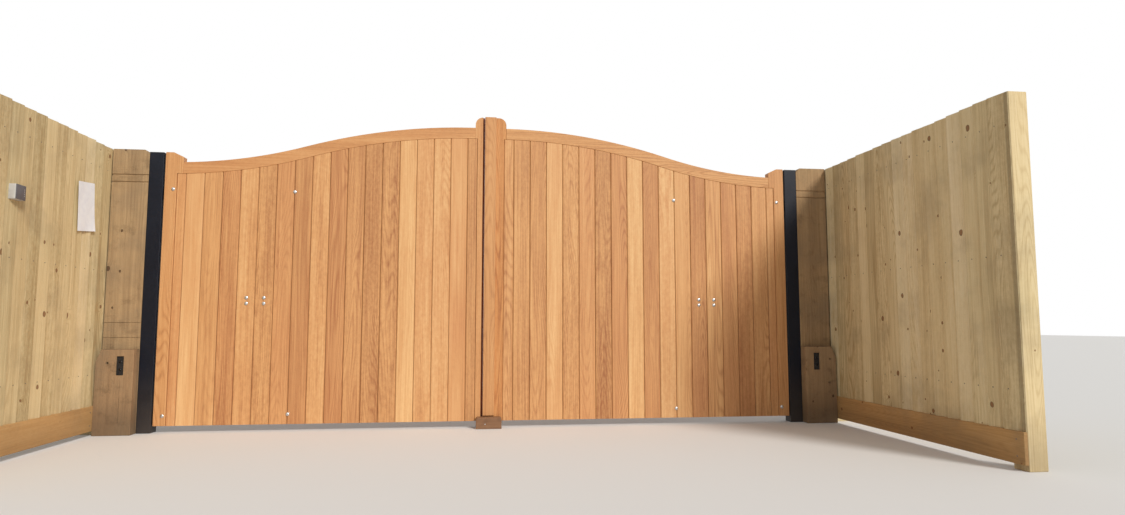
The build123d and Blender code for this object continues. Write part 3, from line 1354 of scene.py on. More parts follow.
@dataclass
class Parts:
    """Patterns that the trees repeat, kept out of the finished scene.

    Attributes:
        bolt: Radius and rise of a coach bolt's head.
        small: Radius and rise of a screw's head.
        nail_rings: Radius and height of each ring of a nail's head.
        washer_rings: The same of a washer.
        nut_rings: The same of a hexagon nut's corners.
        end_rings: The same of the end of a bolt.
    """

    bolt: Pair = (12 * MM, 6 * MM)
    small: Pair = (4.2 * MM, 1.2 * MM)
    nail_rings: Sequence[Pair] = ((3 * MM, -1 * MM), (3 * MM, 0.5 * MM), (2.4 * MM, 0.9 * MM))
    washer_rings: Sequence[Pair] = ((12 * MM, -1 * MM), (12 * MM, 1.5 * MM), (11.4 * MM, 2 * MM))
    nut_rings: Sequence[Pair] = (
        (10 * MM, 1.9 * MM),
        (10.9 * MM, 3 * MM),
        (10.9 * MM, 9 * MM),
        (9.6 * MM, 10 * MM),
    )
    end_rings: Sequence[Pair] = ((5 * MM, 9.5 * MM), (5 * MM, 14 * MM), (4.2 * MM, 15 * MM))

    def __post_init__(self) -> None:
        """Make each pattern once."""
        self.bolt_head = smooth(turned("bolt_head", self.dome(self.bolt), 20))
        self.nut = joined(
            "nut_and_washer",
            [
                turned("washer", self.washer_rings, 20),
                turned("nut", self.nut_rings, 6),
                turned("bolt_end", self.end_rings, 12),
            ],
        )
        self.screw = smooth(turned("screw", self.dome(self.small), 10))
        self.nail = turned("nail", self.nail_rings, 8)

    @staticmethod
    def dome(size: Pair) -> list[Pair]:
        """Profile of a domed head.

        Args:
            size: Radius of its rim and height of its top.

        Returns:
            Rings from the sunk foot to the top.
        """
        radius, rise = size
        rim = 0.2 * rise
        angles = [math.radians(step) for step in (20, 40, 60, 80)]
        rings = [(radius * math.cos(a), rim + (rise - rim) * math.sin(a)) for a in angles]
        return [(radius, -rise / 3), (radius, rim), *rings]

    def clear(self) -> None:
        """Take the patterns out of the file."""
        for part in (self.bolt_head, self.nut, self.screw, self.nail):
            bpy.data.objects.remove(part)


# Workshop


class Workshop:
    """What the sub-assemblies share: the frame, the finishes and the trees."""

    MERGE = 0.01 * MM
    FLAT = math.radians(0.3)
    CORNER = math.radians(40)

    def __init__(self, frame: Mapping[str, Any]) -> None:
        """Make the finishes, the trees and the patterns.

        Args:
            frame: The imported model's frame, with its nodes.
        """
        self.nodes: Mapping[str, bpy.types.Object] = frame["nodes"]
        self.middle = (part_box("left_steel_post")[0].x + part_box("right_steel_post")[1].x) / 2
        self.finishes = Finishes()
        self.parts = Parts()
        self.boards = BoardTree()
        self.laps = LapTree()
        self.fixings = FixingTree()
        self.seed = 0

    def next_seed(self) -> int:
        """Seed for the next thing that has something random in it."""
        self.seed += 1
        return self.seed

    def seat(self, piece: bpy.types.Object, body: str, slot: str, *nodes: str) -> bpy.types.Object:
        """Fasten a finished piece to its body.

        Args:
            piece: The piece, in place.
            body: Body that it rides on.
            slot: Material slot of the record; not used.
            *nodes: Nodes that it stands for.

        Returns:
            The piece.
        """
        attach(piece, body)
        if nodes:
            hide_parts(*nodes)
        LOG.info("%s rides on %s", piece.name, body)
        return piece

    def eased(
        self,
        node: str,
        material: bpy.types.Material,
        slot: str,
        ease: float = 2 * MM,
        steps: int = 2,
        cutters: Sequence[bpy.types.Object] = (),
    ) -> bpy.types.Object:
        """Replace a node by the same shape with its edges eased.

        Args:
            node: Name of the node.
            material: Finish of the piece.
            slot: Material slot of the record.
            ease: Width of the eased edges.
            steps: Faces across an eased edge.
            cutters: Solids that are cut out of it, which are removed.

        Returns:
            The seated piece.
        """
        shape = bmesh.new()
        shape.from_mesh(self.nodes[node].data)
        bmesh.ops.remove_doubles(shape, verts=shape.verts, dist=self.MERGE)
        bmesh.ops.dissolve_limit(
            shape, angle_limit=self.FLAT, verts=shape.verts, edges=shape.edges
        )
        mesh = bpy.data.meshes.new(node)
        shape.to_mesh(mesh)
        shape.free()
        holder = link(bpy.data.objects.new(f"{node}_eased", mesh))
        bevel = holder.modifiers.new("ease", "BEVEL")
        bevel.width = ease
        bevel.segments = steps
        bevel.limit_method = "ANGLE"
        bevel.angle_limit = self.CORNER
        for cutter in cutters:
            cut = holder.modifiers.new(cutter.name, "BOOLEAN")
            cut.operation = "DIFFERENCE"
            cut.solver = "EXACT"
            cut.object = cutter
        piece = settle(holder)
        for cutter in cutters:
            bpy.data.objects.remove(cutter)
        paint(piece, material)
        piece = flatten(number_planks(piece, self.next_seed()))
        return self.seat(piece, self.nodes[node]["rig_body"], slot, node)

    def fix(
        self,
        name: str,
        part: bpy.types.Object,
        facing: Facing,
        start: Point,
        columns: tuple[int, Point] = (1, (0, 0, 0)),
        rows: tuple[int, Point] = (1, (0, 0, 0)),
        material: bpy.types.Material | None = None,
        scatter: float = 0,
    ) -> bpy.types.Object:
        """Rows and columns of a fixing.

        Args:
            name: Name of the piece.
            part: Pattern that is repeated.
            facing: Way that its axis points.
            start: Place of the first.
            columns: How many in a row, and the step between them.
            rows: How many rows, and the step between them.
            material: Its finish, bright where none is given.
            scatter: How far each may stray.

        Returns:
            The piece, not yet seated.
        """
        return self.fixings.run(
            name,
            material or self.finishes.bright_bolt,
            Part=part,
            Columns=columns[0],
            Rows=rows[0],
            Start=start,
            Column_Step=columns[1],
            Row_Step=rows[1],
            Facing=facing.value,
            Scatter=scatter,
            Seed=self.next_seed(),
        )


@dataclass
class SidePart:
    """Sub-assembly on one side of the opening.

    Attributes:
        shop: Workshop.
        side: Side of the opening.
    """

    shop: Workshop
    side: Side

    def node(self, name: str) -> str:
        """Full name of one of this side's nodes."""
        return f"{self.side.label}_{name}"

    def box(self, name: str) -> Corners:
        """Lowest and highest corner of one of this side's nodes."""
        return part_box(self.node(name))

    def across(self, distance: float) -> float:
        """X at a distance from the middle of the opening."""
        return self.shop.middle + self.side.value * distance

    def distances(self, name: str) -> list[float]:
        """Least and greatest distance of a node from the middle of the opening."""
        return sorted(abs(corner.x - self.shop.middle) for corner in self.box(name))


# Leaves


@dataclass(frozen=True)
class Arch:
    """Line of the arch: a crown that is level at the meeting stile, and a hollow sweep.

    Attributes:
        start: Distance from the middle where the crown starts to fall.
        end: Distance where the sweep is level.
        crown: Height of the crown above the ground.
        shoulder: Height of the sweep's low end.
        crown_run: Length of the crown along X.
    """

    start: float
    end: float
    crown: float
    shoulder: float
    crown_run: float = 1.136

    @property
    def turn(self) -> float:
        """Angle through which each of the two arcs turns."""
        return 2 * math.atan((self.crown - self.shoulder) / (self.end - self.start))

    @property
    def crown_radius(self) -> float:
        """Radius of the crown."""
        return self.crown_run / math.sin(self.turn)

    @property
    def sweep_radius(self) -> float:
        """Radius of the sweep."""
        return (self.end - self.start - self.crown_run) / math.sin(self.turn)

    def inputs(self, drop: float) -> dict[str, float]:
        """Inputs of the board tree.

        Args:
            drop: How far the boards' top lies below the arch.

        Returns:
            The values by input name.
        """
        crown_radius = self.crown_radius - drop
        return {
            "Crown_Start": self.start,
            "Crown_Radius": crown_radius,
            "Crown_Centre": self.crown - self.crown_radius,
            "Join": self.start + crown_radius * math.sin(self.turn),
            "Sweep_End": self.end,
            "Sweep_Radius": self.sweep_radius + drop,
            "Sweep_Centre": self.shoulder + self.sweep_radius,
        }


@dataclass
class Leaf(SidePart):
    """One leaf of the gate.

    Attributes:
        horn_rise: Height of the hinge stile's top above the sweep's low end.
        rail_face: Height of the arched rail's face.
        first_joint: Distance from the middle of the first board joint.
        last_joint: Distance of the last board joint.
        whole_boards: Boards between those two joints.
        joint_gap: Gap between two boards.
        vee: Width and depth of the bevel on a board's front edges.
        slot: Depth of the groove in a board's side.
        slot_walls: Where that groove starts and ends in the board's thickness, as shares of it.
        tongue: Half the width of a loose tongue.
        tongue_faces: Where the tongue starts and ends in the board's thickness.
        bolt_columns: Distances of the strap bolts from the middle.
        strap_half: Half the height of a hinge strap.
        strap_thick: Thickness of a strap and of the bracket's plate.
        bracket_columns: Distances of the bracket bolts.
        bracket_rise: Height between a bracket's two rows of bolts.
        screw_inset: Share of a rail's height between its edge and its screws.
    """

    horn_rise: float = 66 * MM
    rail_face: float = 77 * MM
    first_joint: float = 0.160
    last_joint: float = 1.998
    whole_boards: int = 16
    joint_gap: float = 1.2 * MM
    vee: float = 4.5 * MM
    slot: float = 7 * MM
    slot_walls: Pair = (0.42, 0.68)
    tongue: float = 6.5 * MM
    tongue_faces: Pair = (0.45, 0.65)
    bolt_columns: Pair = (2.075, 1.305)
    strap_half: float = 25 * MM
    strap_thick: float = 8 * MM
    bracket_columns: Pair = (1.590, 1.480)
    bracket_rise: float = 38 * MM
    screw_inset: float = 0.27

    @property
    def pitch(self) -> float:
        """Spacing of the boards."""
        return (self.last_joint - self.first_joint) / self.whole_boards

    def build(self) -> None:
        """Make the whole leaf."""
        self.ease_frame()
        self.lay_boards()
        self.fit_bolts()
        self.fit_rail_screws()

    def ease_frame(self) -> None:
        """Replace the frame and the ironwork by eased copies."""
        finishes = self.shop.finishes
        grains = {
            "hinge_stile": finishes.upright,
            "meeting_stile": finishes.meeting_stiles[self.side],
            "arched_rail": finishes.level,
            "upper_rail": finishes.level,
            "middle_rail": finishes.level,
            "bottom_rail": finishes.level,
            "braces": finishes.slanted[self.side],
        }
        for name, material in grains.items():
            self.shop.eased(self.node(name), material, "hardwood", 2.5 * MM)
        for name in ("hinge_straps", "arm_bracket"):
            self.shop.eased(self.node(name), finishes.galvanised, "galvanised_steel", 1 * MM)

    def board_pattern(self, thick: float) -> bpy.types.Object:
        """Board of unit height with bevelled front edges and a groove in each side.

        Args:
            thick: Thickness of a board.

        Returns:
            The pattern, marked where its bevels are.
        """
        half = (self.pitch - self.joint_gap) / 2
        low, high = (thick * share for share in self.slot_walls)
        right = [
            (half - self.vee, 0),
            (half, self.vee),
            (half, low),
            (half - self.slot, low),
            (half - self.slot, high),
            (half, high),
            (half, thick),
        ]
        outline = right + [(-x, y) for x, y in reversed(right)]
        board = prism("board", outline, lambda x, y, end: (x, y, end))
        deep = {round(y, 6) for y in (self.vee, low, high)}
        # the bevels and the groove walls are marked for painted shade with some dirt
        mark(board, [float(round(vertex.co.y, 6) in deep) for vertex in board.data.vertices])
        return board

    def tongue_pattern(self, thick: float) -> bpy.types.Object:
        """Loose tongue of unit height that closes the joint between two boards.

        Args:
            thick: Thickness of a board.

        Returns:
            The pattern, marked all over.
        """
        half = self.tongue
        low, high = (thick * share for share in self.tongue_faces)
        outline = [(-half, low), (half, low), (half, high), (-half, high)]
        tongue = prism("tongue", outline, lambda x, y, end: (x, y, end))
        # the whole tongue is marked, so it is painted dark as shade in the joint
        mark(tongue, [1.0] * len(tongue.data.vertices))
        return tongue

    def lay_boards(self) -> None:
        """Lay the boards and seat them in place of the panel."""
        low, high = self.box("boards")
        inner, outer = self.distances("boards")
        arch = Arch(
            start=self.distances("arched_rail")[0],
            end=self.distances("hinge_stile")[1],
            crown=self.box("arched_rail")[1].z,
            shoulder=self.box("hinge_stile")[1].z - self.horn_rise,
        )
        board, tongue = self.board_pattern(high.y - low.y), self.tongue_pattern(high.y - low.y)
        boards = self.shop.boards.run(
            self.node("leaf_boards"),
            self.shop.finishes.boards,
            Board=board,
            Tongue=tongue,
            Count=self.whole_boards + 2,
            Pitch=self.pitch,
            First_Joint=self.first_joint,
            Inner=inner,
            Outer=outer,
            Side=float(self.side.value),
            Middle=self.shop.middle,
            Front=low.y,
            Foot=low.z,
            Seed=self.shop.next_seed(),
            **arch.inputs(self.rail_face),
        )
        for pattern in (board, tongue):
            bpy.data.objects.remove(pattern)
        self.shop.seat(boards, self.side.leaf, "hardwood", self.node("boards"))

    def fit_bolts(self) -> None:
        """Coach bolts through the straps and the bracket, with nuts on the back."""
        strap_low, strap_high = self.box("hinge_straps")
        plate_low, plate_high = self.box("arm_bracket")
        stile_low, stile_high = self.box("hinge_stile")
        board_front = self.box("boards")[0].y
        back = stile_high.y + self.strap_thick
        lower, upper = strap_low.z + self.strap_half, strap_high.z - self.strap_half
        plate = (plate_low.z + plate_high.z - self.bracket_rise) / 2
        groups = [
            (self.bolt_columns[0], stile_low.y, lower, upper - lower),
            (self.bolt_columns[1], board_front, lower, upper - lower),
            (self.bracket_columns[0], board_front, plate, self.bracket_rise),
            (self.bracket_columns[1], board_front, plate, self.bracket_rise),
        ]
        heads, nuts = [], []
        for number, (distance, front, height, rise) in enumerate(groups):
            for part, kept, facing, y in (
                (self.shop.parts.bolt_head, heads, Facing.FRONT, front),
                (self.shop.parts.nut, nuts, Facing.BACK, back),
            ):
                start = (self.across(distance), y, height)
                rows = (2, (0, 0, rise))
                kept.append(self.shop.fix(f"fixing_{number}", part, facing, start, rows=rows))
        for name, kept in (("coach_bolts", heads), ("bolt_nuts", nuts)):
            piece = smooth(joined(self.node(name), kept), 35)
            self.shop.seat(piece, self.side.leaf, "galvanised_steel")

    def fit_rail_screws(self) -> None:
        """Two screws through each rail into each board."""
        screws = []
        for number, name in enumerate(("bottom_rail", "middle_rail", "upper_rail")):
            low, high = self.box(name)
            inset = (high.z - low.z) * self.screw_inset
            screws.append(
                self.shop.fix(
                    f"screws_{number}",
                    self.shop.parts.screw,
                    Facing.BACK,
                    (self.across(self.first_joint + self.pitch / 2), high.y, low.z + inset),
                    columns=(self.whole_boards, (self.side.value * self.pitch, 0, 0)),
                    rows=(2, (0, 0, high.z - low.z - 2 * inset)),
                    material=self.shop.finishes.galvanised,
                )
            )
        piece = joined(self.node("rail_screws"), screws)
        self.shop.seat(piece, self.side.leaf, "galvanised_steel")


@dataclass
class MeetingEdge:
    """Cover strip of the right leaf, and a dark strip that closes the seam and is painted as its
    shade.

    Attributes:
        shop: Workshop.
        lip_inset: How far the dark strip's front and back lie inside the leaf's.
        lip_drop: How far the dark strip's top lies below the stile's.
        lip_clear: Gap between the dark strip's back edge and the right leaf.
        lip_taper: How much wider that gap is at the front.
    """

    shop: Workshop
    lip_inset: Pair = (12 * MM, 4 * MM)
    lip_drop: float = 1 * MM
    lip_clear: float = 0.4 * MM
    lip_taper: float = 1.4 * MM

    def build(self) -> None:
        """Ease the cover strip and hang the dark strip of painted seam shade on the left leaf."""
        self.shop.eased("right_cover_strip", self.shop.finishes.upright, "hardwood", 3 * MM)
        left_low, left_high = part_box("left_meeting_stile")
        start, stop = left_high.x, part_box("right_meeting_stile")[0].x - self.lip_clear
        face, back = left_low.y + self.lip_inset[0], left_high.y - self.lip_inset[1]
        outline = [(start, face), (stop - self.lip_taper, face), (stop, back), (start, back)]
        heights = (left_low.z, left_high.z - self.lip_drop)
        shade_strip = prism("seam_lip", outline, lambda x, y, end: (x, y, heights[end]))
        # the strip's dark brown is painted shade of the seam
        paint(shade_strip, self.shop.finishes.rubber)
        self.shop.seat(shade_strip, Side.LEFT.leaf, "black_plastic")


# Posts


@dataclass
class GatePost(SidePart):
    """Steel post, timber post and foot block of one side.

    Attributes:
        holes: Distance from the middle and height of each bolt hole in the block.
        low_cuts: Heights of the saw cuts low on the timber post.
        splits: Outlines of the splits in the block, each its distance, foot and top.
        overrun: How far a cutter starts outside the wood.
        cut_depth: Depth of a saw cut.
        cut_half: Half the height of a saw cut at its inner end and of its cutter outside.
        hole_radius: Radius of a bolt hole.
        hole_depth: Depth of a bolt hole.
        hole_steps: Sides of a bolt hole.
        bolt_depth: Depth at which the dark bolt head sits in its hole.
        split_depth: Depth of a split.
        split_steps: Lengths into which a split is cut.
        split_wander: How far a split strays from its line, in millimetres.
        split_half: Half a split's width at its ends, and what its middle adds, in millimetres.
        lens: Radius and rise of a lens.
        lens_places: Height of the lower lens and step to the upper, as shares of the sensor's.
    """

    holes: Sequence[Pair]
    low_cuts: Sequence[float]
    splits: Sequence[tuple[float, float, float]] = ()
    overrun: float = 10 * MM
    cut_depth: float = 3.5 * MM
    cut_half: Pair = (2 * MM, 2.5 * MM)
    hole_radius: float = 8 * MM
    hole_depth: float = 30 * MM
    hole_steps: int = 18
    bolt_depth: float = 29 * MM
    split_depth: float = 14 * MM
    split_steps: int = 9
    split_wander: float = 1.6
    split_half: Pair = (0.25, 1.1)
    lens: Pair = (8 * MM, 3 * MM)
    lens_places: Pair = (0.3, 0.4)

    def build(self) -> None:
        """Dress the post's pieces."""
        shop, finishes = self.shop, self.shop.finishes
        post, block = self.node("timber_post"), self.node("foot_block")
        shop.eased(self.node("steel_post"), finishes.black_steel, "black_steel", 6 * MM, 4)
        shop.eased(post, finishes.post, "post_softwood", 3 * MM, cutters=self.saw_cuts())
        cutters = self.bolt_holes() + self.split_cutters()
        shop.eased(block, finishes.block, "post_softwood", 3 * MM, cutters=cutters)
        for name, material in (
            ("post_cap", finishes.black_plastic),
            ("hinge_hooks", finishes.galvanised),
            ("beam_sensor", finishes.black_plastic),
        ):
            paint(shop.nodes[self.node(name)], material)
        self.fit_lens()
        self.fit_bolt_ends()

    def saw_cuts(self) -> list[bpy.types.Object]:
        """Shallow cutters across the timber post's face."""
        return [self.saw_cut(f"cut_{n}", height) for n, height in enumerate(self.low_cuts)]

    def saw_cut(self, name: str, height: float) -> bpy.types.Object:
        """Level cutter across the timber post's face.

        Args:
            name: Name of the cutter.
            height: Height of its middle.

        Returns:
            The cutter.
        """
        low, high = self.box("timber_post")
        ends = (low.x - self.overrun, high.x + self.overrun)
        inner, outer = self.cut_half
        outline = [
            (-self.overrun, -outer),
            (self.cut_depth, -inner),
            (self.cut_depth, inner),
            (-self.overrun, outer),
        ]
        return prism(name, outline, lambda y, z, end: (ends[end], low.y + y, height + z))

    def block_cutter(
        self,
        name: str,
        outline: Sequence[Pair],
        distance: float,
        depth: float,
        narrowing: float = 0,
    ) -> bpy.types.Object:
        """Cutter that runs into the foot block's front face.

        Args:
            name: Name of the cutter.
            outline: Its section, each point an offset along X and a height.
            distance: Distance of the section's line from the middle of the opening.
            depth: How deep it cuts.
            narrowing: Share of its width that is gone at its inner end.

        Returns:
            The cutter.
        """
        front, centre = self.box("foot_block")[0].y, self.across(distance)
        ends = (front - self.overrun, front + depth)
        return prism(
            name, outline, lambda x, z, end: (centre + x * (1 - narrowing * end), ends[end], z)
        )

    def bolt_holes(self) -> list[bpy.types.Object]:
        """Round cutters for the bolt holes in the block.

        Returns:
            The cutters.
        """
        angles = [2 * math.pi * step / self.hole_steps for step in range(self.hole_steps)]
        ring = [(self.hole_radius * math.cos(a), self.hole_radius * math.sin(a)) for a in angles]
        cutters = []
        for number, (distance, height) in enumerate(self.holes):
            outline = [(x, height + z) for x, z in ring]
            name = f"hole_{number}"
            cutters.append(self.block_cutter(name, outline, distance, self.hole_depth))
        return cutters

    def split_cutters(self) -> list[bpy.types.Object]:
        """Jagged upright slivers for the splits in the block's face.

        Returns:
            The cutters.
        """
        draw = random.Random(self.shop.next_seed())
        least, swell = self.split_half
        cutters = []
        for number, (distance, foot, top) in enumerate(self.splits):
            left, right = [], []
            for step in range(self.split_steps + 1):
                share = step / self.split_steps
                height = foot + (top - foot) * share
                wander = draw.uniform(-self.split_wander, self.split_wander) * MM
                half = (least + swell * math.sin(math.pi * (0.15 + 0.7 * share))) * MM
                left.append((wander - half, height))
                right.append((wander + half, height))
            outline = left + right[::-1]
            name = f"split_{number}"
            cutters.append(self.block_cutter(name, outline, distance, self.split_depth, 0.6))
        return cutters

    def fit_lens(self) -> None:
        """Two small round lenses in the beam sensor's face."""
        low, high = self.box("beam_sensor")
        tall = high.z - low.z
        lens = smooth(turned("lens", Parts.dome(self.lens), 20))
        piece = self.shop.fix(
            self.node("sensor_lenses"),
            lens,
            Facing.FRONT,
            ((low.x + high.x) / 2, low.y, low.z + tall * self.lens_places[0]),
            rows=(2, (0, 0, tall * self.lens_places[1])),
            material=self.shop.finishes.lens,
        )
        bpy.data.objects.remove(lens)
        self.shop.seat(piece, FIXED_BODY, "black_plastic")

    def fit_bolt_ends(self) -> None:
        """Dark bolt heads at the bottom of the holes in the block."""
        depth = self.box("foot_block")[0].y + self.bolt_depth
        heads = [
            self.shop.fix(
                f"block_bolt_{number}",
                self.shop.parts.screw,
                Facing.FRONT,
                (self.across(distance), depth, height),
                material=self.shop.finishes.dark_end,
            )
            for number, (distance, height) in enumerate(self.holes)
        ]
        piece = joined(self.node("block_bolts"), heads)
        self.shop.seat(piece, FIXED_BODY, "black_plastic")


@dataclass
class GroundStop:
    """Block under the seam, with its screw.

    Attributes:
        shop: Workshop.
        screw_aside: Distance of the screw from the block's left end.
        screw_rise: Its height, as a share of the block's.
    """

    shop: Workshop
    screw_aside: float = 60 * MM
    screw_rise: float = 0.42

    def build(self) -> None:
        """Ease the block and set its screw."""
        self.shop.eased("ground_stop", self.shop.finishes.stop, "hardwood", 3 * MM, 3)
        low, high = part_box("ground_stop")
        start = (low.x + self.screw_aside, low.y, (low.z + high.z) * self.screw_rise)
        screw = self.shop.fix("stop_screw", self.shop.parts.screw, Facing.FRONT, start)
        self.shop.seat(screw, FIXED_BODY, "galvanised_steel")


# Fences


@dataclass
class WingFence(SidePart):
    """One bay of lapped boards beside the drive.

    Attributes:
        board_width: Width of a board.
        pitch: Spacing of the boards, before it is fitted to the bay.
        thin: Thickness of a board's thin edge.
        thick: Thickness of its thick edge.
        tilt: How far its thick edge stands off the rails.
        soiled: Width of the line of painted shadow, with some dirt, beside the next board's thick
            edge.
        arris: Depth and width of the worn corner of the thick edge.
        end_gap: Gap between the boards and each end of the bay.
        nail_place: Share of a board's width at which it is nailed.
        nail_scatter: How far a nail may stray.
        rail_half: Half the height of a rail.
        screw_ends: Distance of the gravel board's screws from its far and near end.
        screw_half: Half the height between its two rows of screws.
    """

    board_width: float = 125 * MM
    pitch: float = 105 * MM
    thin: float = 5 * MM
    thick: float = 12 * MM
    tilt: float = 7.6 * MM
    soiled: float = 9 * MM
    arris: Pair = (1 * MM, 1.5 * MM)
    end_gap: float = 1.5 * MM
    nail_place: float = 0.7
    nail_scatter: float = 0.3 * MM
    rail_half: float = 37.5 * MM
    screw_ends: Pair = (200 * MM, 50 * MM)
    screw_half: float = 40 * MM

    def build(self) -> None:
        """Make the fence."""
        finishes = self.shop.finishes
        for name, material, slot, ease in (
            ("gravel_board", finishes.gravel_board, "gravel_board_softwood", 3 * MM),
            ("fence_posts", finishes.fence_upright, "fence_softwood", 4 * MM),
            ("fence_rails", finishes.fence_level, "fence_softwood", 3 * MM),
        ):
            self.shop.eased(self.node(name), material, slot, ease)
        self.lap_boards()
        self.drive_nails()

    @property
    def outward(self) -> int:
        """Sign of X from the fence to the drive."""
        return -self.side.value

    def face(self, name: str, outer: bool) -> float:
        """X of a node's face towards the drive, where outer is true, or away from it."""
        return self.box(name)[outer == (self.side is Side.LEFT)].x

    def spacing(self) -> tuple[int, float]:
        """How many boards the bay takes.

        Returns:
            Their count, and their spacing once it is fitted to the bay.
        """
        low, high = self.box("fence_panel")
        count = round((high.y - low.y) / self.pitch)
        return count, (high.y - low.y - self.board_width - 2 * self.end_gap) / (count - 1)

    def board_pattern(self, pitch: float) -> bpy.types.Object:
        """Feather-edged board of unit height.

        Args:
            pitch: Spacing of the boards, which says how much of it the next one covers.

        Returns:
            The pattern, marked for painted shadow with some dirt where it is covered, beside the
            next board's thick edge and at its own thick edge.
        """
        corner, edge = self.tilt + self.thick - self.arris[0], self.board_width - self.arris[1]
        slope = (corner - self.thin) / edge
        covered = self.board_width - pitch
        line = covered + self.soiled
        outline = [
            (0, 0),
            (self.thin, 0),
            (self.thin + covered * slope, covered),
            (self.thin + line * slope, line),
            (corner, edge),
            (corner, self.board_width),
            (self.tilt, self.board_width),
        ]
        board = prism("fence_board", outline, lambda x, y, end: (self.outward * x, y, end))
        # the covered part, the line beside the next board's thick edge and the thick edge itself
        # are marked for painted shadow with some dirt
        mark(board, [1.0, 1.0, 1.0, 0.0, 0.0, 1.0, 1.0] * 2)
        return board

    def lap_boards(self) -> None:
        """Lap the boards and seat them in place of the panel."""
        low, high = self.box("fence_panel")
        count, pitch = self.spacing()
        board = self.board_pattern(pitch)
        boards = self.shop.laps.run(
            self.node("fence_boards"),
            self.shop.finishes.fence_boards,
            Board=board,
            Count=count,
            Pitch=pitch,
            Start=low.y + self.end_gap,
            Back=self.face("fence_panel", outer=False),
            Foot=low.z,
            Height=high.z - low.z,
            Seed=self.shop.next_seed(),
        )
        bpy.data.objects.remove(board)
        self.shop.seat(boards, FIXED_BODY, "fence_softwood", self.node("fence_panel"))

    def drive_nails(self) -> None:
        """A nail through each board into each rail, and screws in the gravel board."""
        panel_low, _ = self.box("fence_panel")
        rail_low, rail_high = self.box("fence_rails")
        count, pitch = self.spacing()
        facing = Facing.RIGHT if self.side is Side.LEFT else Facing.LEFT
        stand = self.thin + (self.tilt + self.thick - self.thin) * self.nail_place
        nails = self.shop.fix(
            "fence_nails",
            self.shop.parts.nail,
            facing,
            (
                self.face("fence_panel", outer=False) + self.outward * stand,
                panel_low.y + self.end_gap + self.board_width * self.nail_place,
                rail_low.z + self.rail_half,
            ),
            columns=(count, (0, pitch, 0)),
            rows=(3, (0, 0, (rail_high.z - rail_low.z - 2 * self.rail_half) / 2)),
            material=self.shop.finishes.dull_nail,
            scatter=self.nail_scatter,
        )
        low, high = self.box("gravel_board")
        far, near = self.screw_ends
        screws = self.shop.fix(
            "gravel_screws",
            self.shop.parts.screw,
            facing,
            (
                self.face("gravel_board", outer=True),
                low.y + near,
                (low.z + high.z) / 2 - self.screw_half,
            ),
            columns=(2, (0, high.y - low.y - near - far, 0)),
            rows=(2, (0, 0, 2 * self.screw_half)),
            material=self.shop.finishes.dull_nail,
        )
        piece = joined(self.node("fence_nails"), [nails, screws])
        self.shop.seat(piece, FIXED_BODY, "galvanised_steel")


@dataclass
class CallBox:
    """Small box on the left fence, with a darker cover whose dark grey is partly painted shade on
    that face.

    Attributes:
        shop: Workshop.
        cover: Thickness of the cover.
        step: How far the cover is set in from the body's edge.
        sunk: How far the body's back lies behind the node's, in the lap of the boards.
        body_ease: Radius of the body's edges.
        cover_ease: Radius of the cover's edges.
        lamp: Radius and rise of a lamp.
        lamp_aside: Distance of the lamps from the cover's far edge.
        lamp_places: Height of the lowest lamp and step between them, as shares of the box's.
        lamp_count: How many lamps there are.
    """

    shop: Workshop
    cover: float = 4 * MM
    step: float = 1.5 * MM
    sunk: float = 14 * MM
    body_ease: float = 5 * MM
    cover_ease: float = 1.5 * MM
    lamp: Pair = (2.2 * MM, 1.2 * MM)
    lamp_aside: float = 14 * MM
    lamp_places: Pair = (0.3, 0.14)
    lamp_count: int = 4

    def build(self) -> None:
        """Make the body, the cover and its row of small lamps."""
        low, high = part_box("call_box")
        finishes = self.shop.finishes
        split = high.x - self.cover
        for name, ends, inset, ease, material in (
            ("call_box_body", (low.x - self.sunk, split), 0, self.body_ease, finishes.box_body),
            # the cover's darker grey is partly painted shade
            ("call_box_cover", (split, high.x), self.step, self.cover_ease, finishes.box_cover),
        ):
            block = self.block(name, ends, (low, high), inset, ease)
            paint(block, material)
            self.shop.seat(block, FIXED_BODY, "grey_plastic", "call_box")
        self.fit_lamps(low, high)

    @staticmethod
    def block(name: str, ends: Pair, box: Corners, inset: float, ease: float) -> bpy.types.Object:
        """Rounded block.

        Args:
            name: Name of the piece.
            ends: Its low and high X.
            box: Corners whose Y and Z it takes.
            inset: How far it is set in from them.
            ease: Radius of its edges.

        Returns:
            The block.
        """
        low, high = box
        outline = [
            (low.y + inset, low.z + inset),
            (high.y - inset, low.z + inset),
            (high.y - inset, high.z - inset),
            (low.y + inset, high.z - inset),
        ]
        holder = prism(name, outline, lambda y, z, end: (ends[end], y, z))
        bevel = holder.modifiers.new("ease", "BEVEL")
        bevel.width = ease
        bevel.segments = 4
        return smooth(settle(holder), 35)

    def fit_lamps(self, low: Vector, high: Vector) -> None:
        """Small pale lamps near the cover's far edge.

        Args:
            low: Lowest corner of the box.
            high: Its highest corner.
        """
        lamp = turned("lamp", Parts.dome(self.lamp), 12)
        tall = high.z - low.z
        piece = self.shop.fix(
            "call_box_lamps",
            lamp,
            Facing.RIGHT,
            (high.x, high.y - self.lamp_aside, low.z + tall * self.lamp_places[0]),
            rows=(self.lamp_count, (0, 0, tall * self.lamp_places[1])),
            material=self.shop.finishes.box_body,
        )
        bpy.data.objects.remove(lamp)
        self.shop.seat(piece, FIXED_BODY, "grey_plastic")


